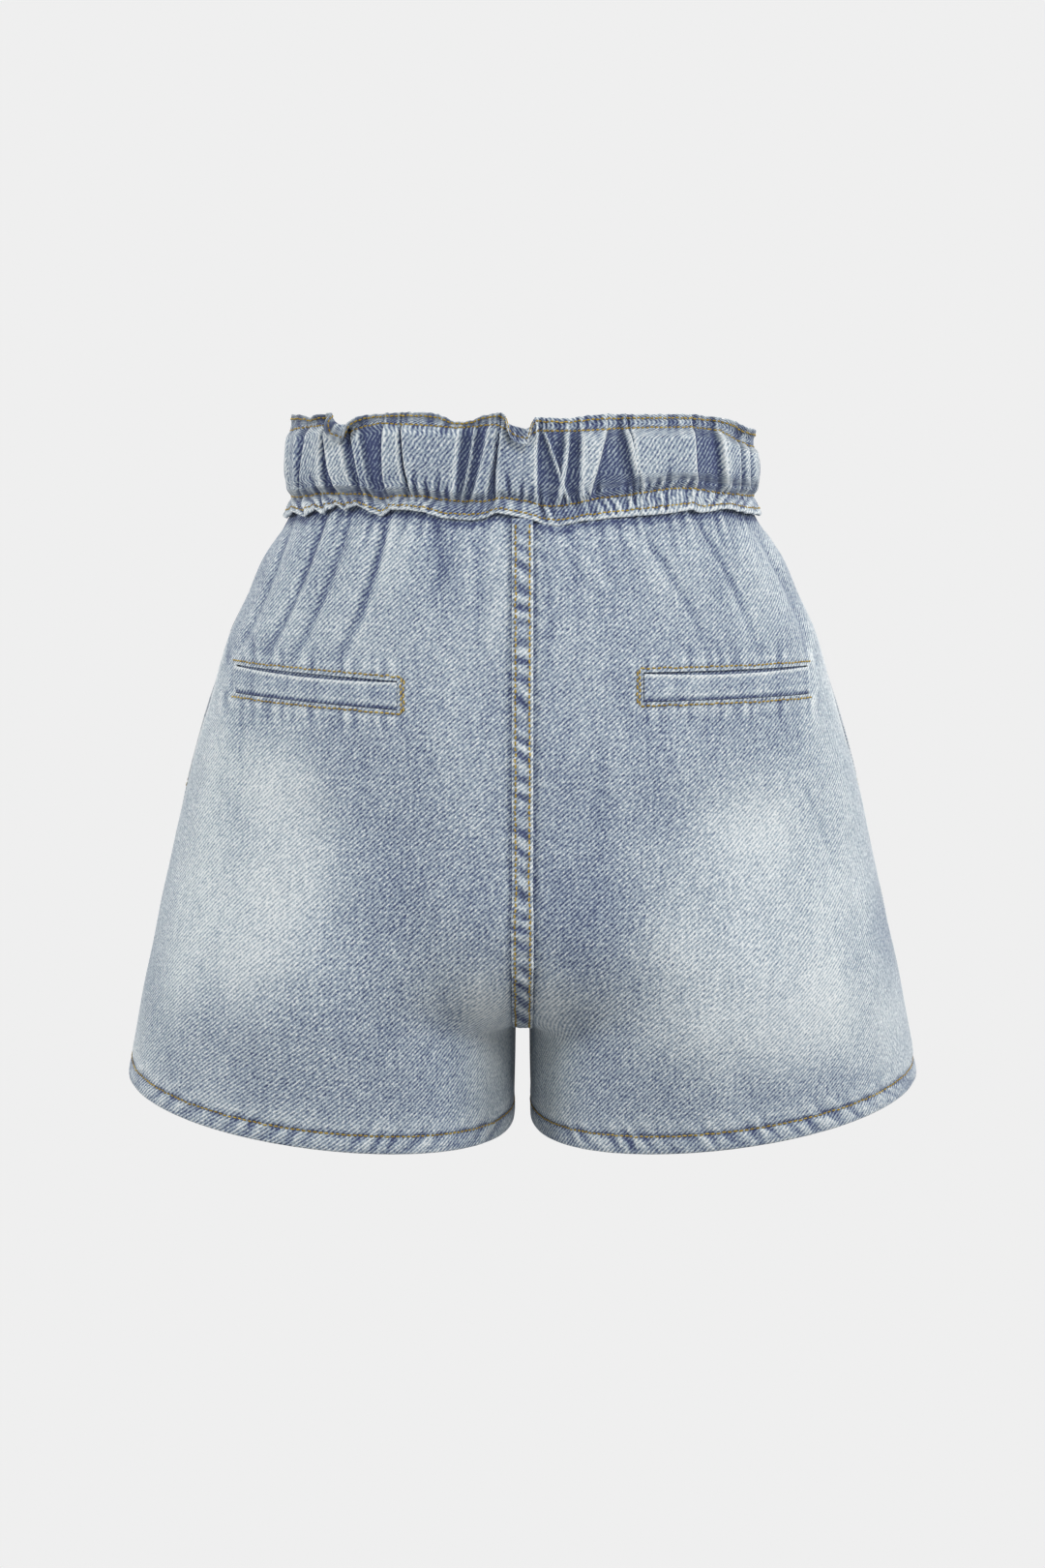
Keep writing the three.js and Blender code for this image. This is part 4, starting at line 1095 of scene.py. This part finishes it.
def make_waistband(front):
    columns = BAND_COLUMNS[front]
    levels = np.array(
        [FRILL_TOP, FRILL_TOP - 0.15, FRILL_TOP - 0.5, FRILL_TOP - 1]
        + list(np.linspace(FRILL_TOP - 1.8, FRILL_BASE + 0.8, 12)) + [FRILL_BASE]
        + list(np.linspace(FRILL_BASE - 0.9, CASING_BASE + 0.6, 32))
        + list(np.linspace(CASING_BASE - 0.5, BAND_EDGE + 1.2, 12))
        + [BAND_EDGE + 0.7, BAND_EDGE + 0.3, BAND_EDGE + 0.1, BAND_EDGE])[:, None]
    round_ = np.linspace(-1, 1, columns + 1)[None, :]
    outside, through, thick, relief, wear = waistband_surface(round_, levels, front)
    casing, gx, pale, shade, gather, tucks = wear
    shut = np.ones_like(levels)
    shut[:4, 0] = (0.12, 0.5, 0.8, 0.96)
    shut[-4:, 0] = (0.92, 0.72, 0.45, 0.12)
    core = outside - through * (thick / 2)[..., None]
    outer = core + through * (thick / 2 * shut)[..., None]
    inner = core - through * (thick / 2 * shut)[..., None]
    proud, low = worn(relief, 5, 0.7)
    in_casing = smooth((levels - CASING_BASE + 1) / 2) * smooth((FRILL_BASE + 0.5 - levels) / 1.5)
    in_band = smooth((CASING_BASE + 0.5 - levels) / 1.0)
    in_frill = smooth((levels - FRILL_BASE) / 1.0)
    raised = clamp01(casing / 4.2) * in_casing
    valley_shade_unevenness = ripple(gx + 0.4 * levels, 108, (13, 21, 34))
    folded = bell((levels - BAND_EDGE - 0.4) / 1.3)
    # Painted shade in the band's pucker recesses, strongest at these three places.
    deep = 1.3 * bell((gx + 28) / 13) + bell((gx - 23) / 15) + 0.9 * bell((gx + 84) / 9)
    ridge = clamp01(0.35 * proud + 0.62 * pale * in_casing + 0.6 * clamp01(gather * 2.2) + 0.75 * folded
                    + in_band * (0.2 + 0.7 * clamp01(tucks * 1.8)) + 0.9 * in_frill * clamp01(proud * 1.3)
                    + 0.8 * bell((levels - FRILL_TOP) / 0.9))
    # hollow: painted shade in the casing's valleys, beside its strips and in the band's puckers, with the
    # unfaded indigo of low places.
    hollow = clamp01(0.45 * low + in_casing * (0.7 + 0.14 * valley_shade_unevenness) * (1 - raised) + 1.0 * shade * in_casing
                     + 1.3 * clamp01(-gather * 3.2 - 0.05)
                     + in_band * (1 - folded) * (1.2 * clamp01(-tucks * 2.2) + deep * clamp01(0.7 - tucks))
                     + in_frill * (0.1 + 0.7 * low + 1.1 * clamp01(ripple(gx, 107, (7, 11, 19)) * 1.8))
                     + spots(CASING_SHADED_SPOTS, gx, levels))
    faded = clamp01(0.06 + 0.05 * raised)
    run = lengths(outside, 1)
    u = blur(run - run[:, columns // 2:columns // 2 + 1], 2)
    name = "waistband_front" if front else "waistband_back"
    one_sided = 1 - smooth((levels + 0 * u - FRILL_BASE) / 1.5)
    cloth(name, outer, inner, (u, levels + 0 * u), (faded, ridge, hollow), faced=one_sided)
    fine = np.linspace(-0.996, 0.996, BAND_POINTS)
    for level in (FRILL_TOP - TOP_ROW, FRILL_BASE, CASING_BASE + CASING_ROW, BAND_EDGE + BAND_ROW):
        near = [waistband_surface(fine, level + d, front)[0] for d in (-0.35, 0, 0.35)]
        along = np.gradient(near[1], axis=0)
        up = near[2] - near[0]
        way = np.cross(along, up)
        through_at = waistband_surface(fine, level, front)[1]
        way *= np.sign((way * through_at).sum(-1, keepdims=True))
        row_of_stitches("waist", near[1], way, WAIST_STITCH, 0.15)
        if level > FRILL_BASE:
            thick_at = BAND_CLOTH * 0.85
            row_of_stitches("waist", near[1] - through_at * thick_at, -way, WAIST_STITCH, 0.15)


for side, name in SIDES:
    for make in (make_back_panel, make_front_panel, make_welt, make_pocket, make_facing, make_hem):
        make(side, name)
for front in (False, True):
    make_waistband(front)
    make_felled_seam(front)


def back_stitches(side, window, runs):
    """Sewing round a welt: runs of places x, z on the back panel."""
    for run in runs:
        x = np.array([p[0] for p in run], float)
        z = np.array([p[1] for p in run], float)
        along = np.concatenate([[0], np.cumsum(np.hypot(np.diff(x), np.diff(z)))])
        at = np.linspace(0, along[-1], max(12, int(along[-1] * 2)))
        px, pz = np.interp(at, along, x), np.interp(at, along, z)
        turn = turn_at(px, pz)
        point, out = body_place(side, turn, pz)
        distance = welt_distance(window, point[..., 0], pz)[0]
        relief = folds_at(point, False) * (1 - 0.75 * bell(distance / 9))
        relief += 0.25 * bell((distance - 4.2) / 2.6)
        row_of_stitches("body", point + out * (CLOTH / 2 + relief - 0.1)[:, None], out, jitter=1.4)


def welt_runs(side, window):
    inner, outer, top, rise, deep = (window[k] for k in ("inner", "outer", "top", "rise", "deep"))
    a, b = side * (inner - 1.8), side * (outer + 1.6)
    over, under = top + WELT_ROW, top - deep - WELT_ROW
    above = [(mix(a, b, u), over + rise * up) for u, up in ((0, 0), (0.35, 0.4), (0.7, 0.75), (1, 1))]
    below = [(mix(a, b, u), under + rise * u) for u in (0, 0.5, 1)]
    end = [(a, over), (a, under)]
    again = [(side * (inner - 3.0), top + 1.0), (side * (inner - 3.0), top - deep - 1.0)]
    return [above, below, end, again]


for side, name in SIDES:
    back_stitches(side, WELTS[name], welt_runs(side, WELTS[name]))


# Shader building.
def joining(operation, swapped=False):
    """A method that joins two values by a Math node of this operation."""
    def joined(self, other):
        pair = (other, self) if swapped else (self, other)
        return build(self.tree, "ShaderNodeMath", {"operation": operation}, pair)
    return joined


class Value:
    """A socket that the usual operators work on, each adding its Math node."""

    __add__ = __radd__ = joining("ADD")
    __sub__, __rsub__ = joining("SUBTRACT"), joining("SUBTRACT", swapped=True)
    __mul__ = __rmul__ = joining("MULTIPLY")

    def __init__(self, tree, socket):
        self.tree, self.socket = tree, socket

    def sine(self):
        return build(self.tree, "ShaderNodeMath", {"operation": "SINE"}, (self,))

    def limited(self):
        return build(self.tree, "ShaderNodeClamp", {}, (self, 0.0, 1.0))


def build(tree, kind, settings, inputs, output=0):
    """One node of a kind, with its settings made first and then its sockets: numbers, colours or links."""
    node = tree.nodes.new(kind)
    for key, value in settings.items():
        if key == "stops":
            ramp = node.color_ramp
            while len(ramp.elements) > 1:
                ramp.elements.remove(ramp.elements[-1])
            ramp.elements[0].position, ramp.elements[0].color = value[0]
            for place, colour in value[1:]:
                ramp.elements.new(place).color = colour
        else:
            setattr(node, key, value)
    items = inputs.items() if isinstance(inputs, dict) else enumerate(inputs)
    for key, value in items:
        if value is None:
            continue
        if isinstance(value, Value):
            tree.links.new(value.socket, node.inputs[key])
        else:
            node.inputs[key].default_value = value
    return Value(tree, node.outputs[output])


def linear(*display):
    """A colour named by its 0 to 255 display values, as the shader takes it."""
    shares = [c / 255 for c in display]
    return (*(c / 12.92 if c <= 0.04045 else ((c + 0.055) / 1.055) ** 2.4 for c in shares), 1.0)


def ramp(tree, stops, value):
    """A colour that follows a value along the stops given."""
    stops = [(place, linear(*colour)) for place, colour in stops]
    return build(tree, "ShaderNodeValToRGB", {"stops": stops}, (value.limited(),), "Color")


def show(tree, shader, kind="ShaderNodeOutputMaterial"):
    tree.links.new(shader.socket, tree.nodes.new(kind).inputs["Surface"])


def new_material(name):
    material = bpy.data.materials.new(name)
    material.use_nodes = True
    tree = material.node_tree
    tree.nodes.clear()
    return material, tree


def denim(name, painted_shade=0.0):
    """Washed cotton twill: slanting ribs, uneven lengthwise threads, mottling, wear, fades and painted shade.
    """
    material, tree = new_material(name)
    where = build(tree, "ShaderNodeUVMap", {"uv_map": "cloth"}, ())
    u, v = (build(tree, "ShaderNodeSeparateXYZ", {}, (where,), k) for k in range(2))

    def noise(su, sv, detail=2.0, rough=0.5):
        at = build(tree, "ShaderNodeCombineXYZ", {}, (u * su, v * sv, 0.0))
        return build(tree, "ShaderNodeTexNoise", {"noise_dimensions": "2D"},
                     {"Vector": at, "Scale": 1.0, "Detail": detail, "Roughness": rough}, "Fac") - 0.5

    wear = build(tree, "ShaderNodeAttribute", {"attribute_name": "wear"}, (), "Color")
    faded, ridge, hollow = (build(tree, "ShaderNodeSeparateColor", {}, (wear,), k) for k in range(3))
    reverse = build(tree, "ShaderNodeAttribute", {"attribute_name": "reverse"}, (), "Fac")

    wobble = noise(240, 240, 1.0)
    rib = ((v * 0.75 - u * 0.66) * (2 * math.pi / TWILL) + wobble * 2.4).sine()
    broken = noise(620, 620, 2.0, 0.6)
    speck = noise(560, 560, 2.0, 0.7)
    slub = noise(820, 60, 3.0, 0.62)
    weft = noise(70, 900, 2.0, 0.6)
    mottle = noise(170, 150, 4.0, 0.62)
    cloud = noise(34, 22, 3.0, 0.55)

    # hollow darkens the tone both for the wash's unfaded indigo and for the painted shade that the pieces
    # carry.
    tone = (MIDDLE_TONE - painted_shade) + faded * 0.40 + ridge * 0.40 - hollow * 0.48
    weave = rib * (0.28 + broken * 0.8) + speck * 1.2 + slub * 0.4 + weft * 0.2
    tone = tone + weave * (1.0 - faded * 0.3) + mottle * 0.3 + cloud * 0.2
    face = ramp(tree, DENIM_STOPS, tone)
    back = ramp(tree, REVERSE_STOPS,
                0.6 + rib * 0.16 + speck * 0.9 + slub * 0.3 + mottle * 0.4 - hollow * 0.3)
    colour = build(tree, "ShaderNodeMix", {"data_type": "RGBA"}, {"Factor": reverse, 6: face, 7: back}, 2)
    height = rib * (0.7 + broken * 0.8) + slub * 0.9 + speck * 1.8 + mottle * 0.5
    bump = build(tree, "ShaderNodeBump", {},
                 {"Strength": 0.7, "Distance": 0.0003, "Height": height}, "Normal")
    rough = 0.86 + mottle * 0.16
    shader = build(tree, "ShaderNodeBsdfPrincipled", {},
                   {"Base Color": colour, "Roughness": rough.limited(), "Normal": bump,
                    "Specular IOR Level": 0.22, "Sheen Weight": 0.12, "Sheen Roughness": 0.55,
                    "Sheen Tint": (0.95, 0.97, 1.0, 1.0)}, 0)
    show(tree, shader)
    return material


def thread_material():
    """Ochre sewing thread, faded unevenly along its run."""
    material, tree = new_material("ochre_thread")
    where = build(tree, "ShaderNodeTexCoord", {}, (), "Object")
    patch_, fibre = (
        build(tree, "ShaderNodeTexNoise", {}, {"Vector": where, "Scale": scale, "Detail": detail}, "Fac")
        for scale, detail in ((90.0, 2.0), (1400.0, 1.0)))
    colour = ramp(tree, THREAD_STOPS, (patch_ - 0.5) * 1.3 + (fibre - 0.5) * 0.6 + 0.5)
    bump = build(tree, "ShaderNodeBump", {},
                 {"Strength": 0.5, "Distance": 0.0001, "Height": fibre}, "Normal")
    rough = 0.6 + (patch_ - 0.5) * 0.2
    shader = build(tree, "ShaderNodeBsdfPrincipled", {},
                   {"Base Color": colour, "Roughness": rough, "Normal": bump, "Specular IOR Level": 0.35}, 0)
    show(tree, shader)
    return material


washed_denim = denim("washed_denim")
# A darker copy of the denim for the pockets behind the welts: painted shade.
deep_denim = denim("deep_denim", painted_shade=POCKET_SHADE)
ochre_thread = thread_material()
for name, piece in pieces.items():
    piece.data.materials.append(deep_denim if "pocket" in name and "facing" not in name else washed_denim)


# Sewing, by Geometry Nodes.
def stitch_tree():
    """Puts one rounded stitch on each point, turned along its seam, and makes them all one mesh."""
    tree = bpy.data.node_groups.new("stitches_along_a_seam", "GeometryNodeTree")
    face = tree.interface
    face.new_socket("Geometry", in_out="INPUT", socket_type="NodeSocketGeometry")
    thick = face.new_socket("Thread thickness", in_out="INPUT", socket_type="NodeSocketFloat")
    finish = face.new_socket("Thread finish", in_out="INPUT", socket_type="NodeSocketMaterial")
    face.new_socket("Geometry", in_out="OUTPUT", socket_type="NodeSocketGeometry")
    given, made = tree.nodes.new("NodeGroupInput"), tree.nodes.new("NodeGroupOutput")
    places, thickness, thread = (Value(tree, given.outputs[k]) for k in range(3))

    def attribute(name, kind):
        return build(tree, "GeometryNodeInputNamedAttribute", {"data_type": kind},
                     {"Name": name}, "Attribute")

    ball = build(tree, "GeometryNodeMeshIcoSphere", {}, {"Radius": 0.5, "Subdivisions": 2}, "Mesh")
    along = build(tree, "FunctionNodeAlignRotationToVector", {"axis": "X"},
                  {"Vector": attribute("along", "FLOAT_VECTOR")}, "Rotation")
    turned = build(tree, "FunctionNodeAlignRotationToVector", {"axis": "Z", "pivot_axis": "X"},
                   {"Rotation": along, "Vector": attribute("out", "FLOAT_VECTOR")}, "Rotation")
    size = build(tree, "ShaderNodeCombineXYZ", {},
                 (attribute("length", "FLOAT"), thickness, thickness * FLATTENED))
    put = build(tree, "GeometryNodeInstanceOnPoints", {},
                {"Points": places, "Instance": ball, "Rotation": turned, "Scale": size}, "Instances")
    real = build(tree, "GeometryNodeRealizeInstances", {}, {"Geometry": put}, "Geometry")
    even = build(tree, "GeometryNodeSetShadeSmooth", {}, {"Geometry": real}, "Geometry")
    done = build(tree, "GeometryNodeSetMaterial", {}, {"Geometry": even, "Material": thread}, "Geometry")
    tree.links.new(done.socket, made.inputs["Geometry"])
    return tree, thick.identifier, finish.identifier


def sew(name, rows, tree, thick_id, finish_id):
    middle, along, out, length = [np.concatenate([row[k] for row in rows]) for k in range(4)]
    mesh = bpy.data.meshes.new(name + "_places")
    mesh.vertices.add(len(middle))
    mesh.vertices.foreach_set("co", (middle * MM).ravel())
    store(mesh, "along", "FLOAT_VECTOR", along)
    store(mesh, "out", "FLOAT_VECTOR", out)
    store(mesh, "length", "FLOAT", length * MM)
    mesh.update()
    places = add_object(name + "_places", mesh)
    modifier = places.modifiers.new("stitches", "NODES")
    modifier.node_group = tree
    modifier[thick_id] = THREAD * MM
    modifier[finish_id] = ochre_thread
    bpy.context.view_layer.update()
    ready = places.evaluated_get(bpy.context.evaluated_depsgraph_get())
    sewn = bpy.data.meshes.new_from_object(ready)
    sewn.name = name
    piece = add_object(name, sewn)
    bpy.data.objects.remove(places)
    if not sewn.materials:
        sewn.materials.append(ochre_thread)
    return piece


stitching = stitch_tree()
for place in ("waist", "body"):
    pieces[f"{place}_stitching"] = sew(f"{place}_stitching", seams[place], *stitching)
for piece in pieces.values():
    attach(piece, "root")


for name in ("left", "right"):
    back, front = f"back_panel_{name}", f"front_panel_{name}"


# Studio.
def look(thing, place, aim):
    thing.location = place
    thing.rotation_euler = (Vector(aim) - Vector(place)).to_track_quat("-Z", "Y").to_euler()


def studio_floor():
    mesh = bpy.data.meshes.new("studio_floor")
    corners = [(FLOOR_REACH * a, FLOOR_REACH * b, FLOOR_LEVEL)
               for a, b in ((-1, -1), (1, -1), (1, 1), (-1, 1))]
    mesh.from_pydata(corners, [], [(0, 1, 2, 3)])
    mesh.update()
    floor = add_object("studio_floor", mesh)
    material, tree = new_material("pale_floor")
    show(tree, build(tree, "ShaderNodeEmission", {}, {"Color": linear(GREY, GREY, GREY), "Strength": 1.0}))
    mesh.materials.append(material)
    floor.visible_diffuse = floor.visible_glossy = floor.visible_shadow = False


def studio_light():
    world = bpy.data.worlds.new("studio")
    bpy.context.scene.world = world
    world.use_nodes = True
    tree = world.node_tree
    tree.nodes.clear()
    seen, fill = (
        build(tree, "ShaderNodeBackground", {}, {"Color": colour, "Strength": strength})
        for colour, strength in ((linear(GREY, GREY, GREY), 1.0), ((1.0, 1.0, 1.0, 1.0), FILL_LIGHT)))
    camera_ray = build(tree, "ShaderNodeLightPath", {}, (), "Is Camera Ray")
    both = build(tree, "ShaderNodeMixShader", {}, (camera_ray, fill, seen))
    show(tree, both, "ShaderNodeOutputWorld")
    for name, place, aim, size, power in LIGHTS:
        light = bpy.data.lights.new(name, "AREA")
        light.shape, light.size, light.energy = "DISK", size, power
        look(add_object(name, light), place, aim)


def camera():
    lens = bpy.data.cameras.new("camera")
    lens.lens, lens.sensor_width = LENS, SENSOR
    eye = add_object("camera", lens)
    look(eye, CAMERA_AT, CAMERA_AIM)
    bpy.context.scene.camera = eye


studio_floor()
studio_light()
camera()
bpy.context.scene.view_settings.view_transform = "Standard"

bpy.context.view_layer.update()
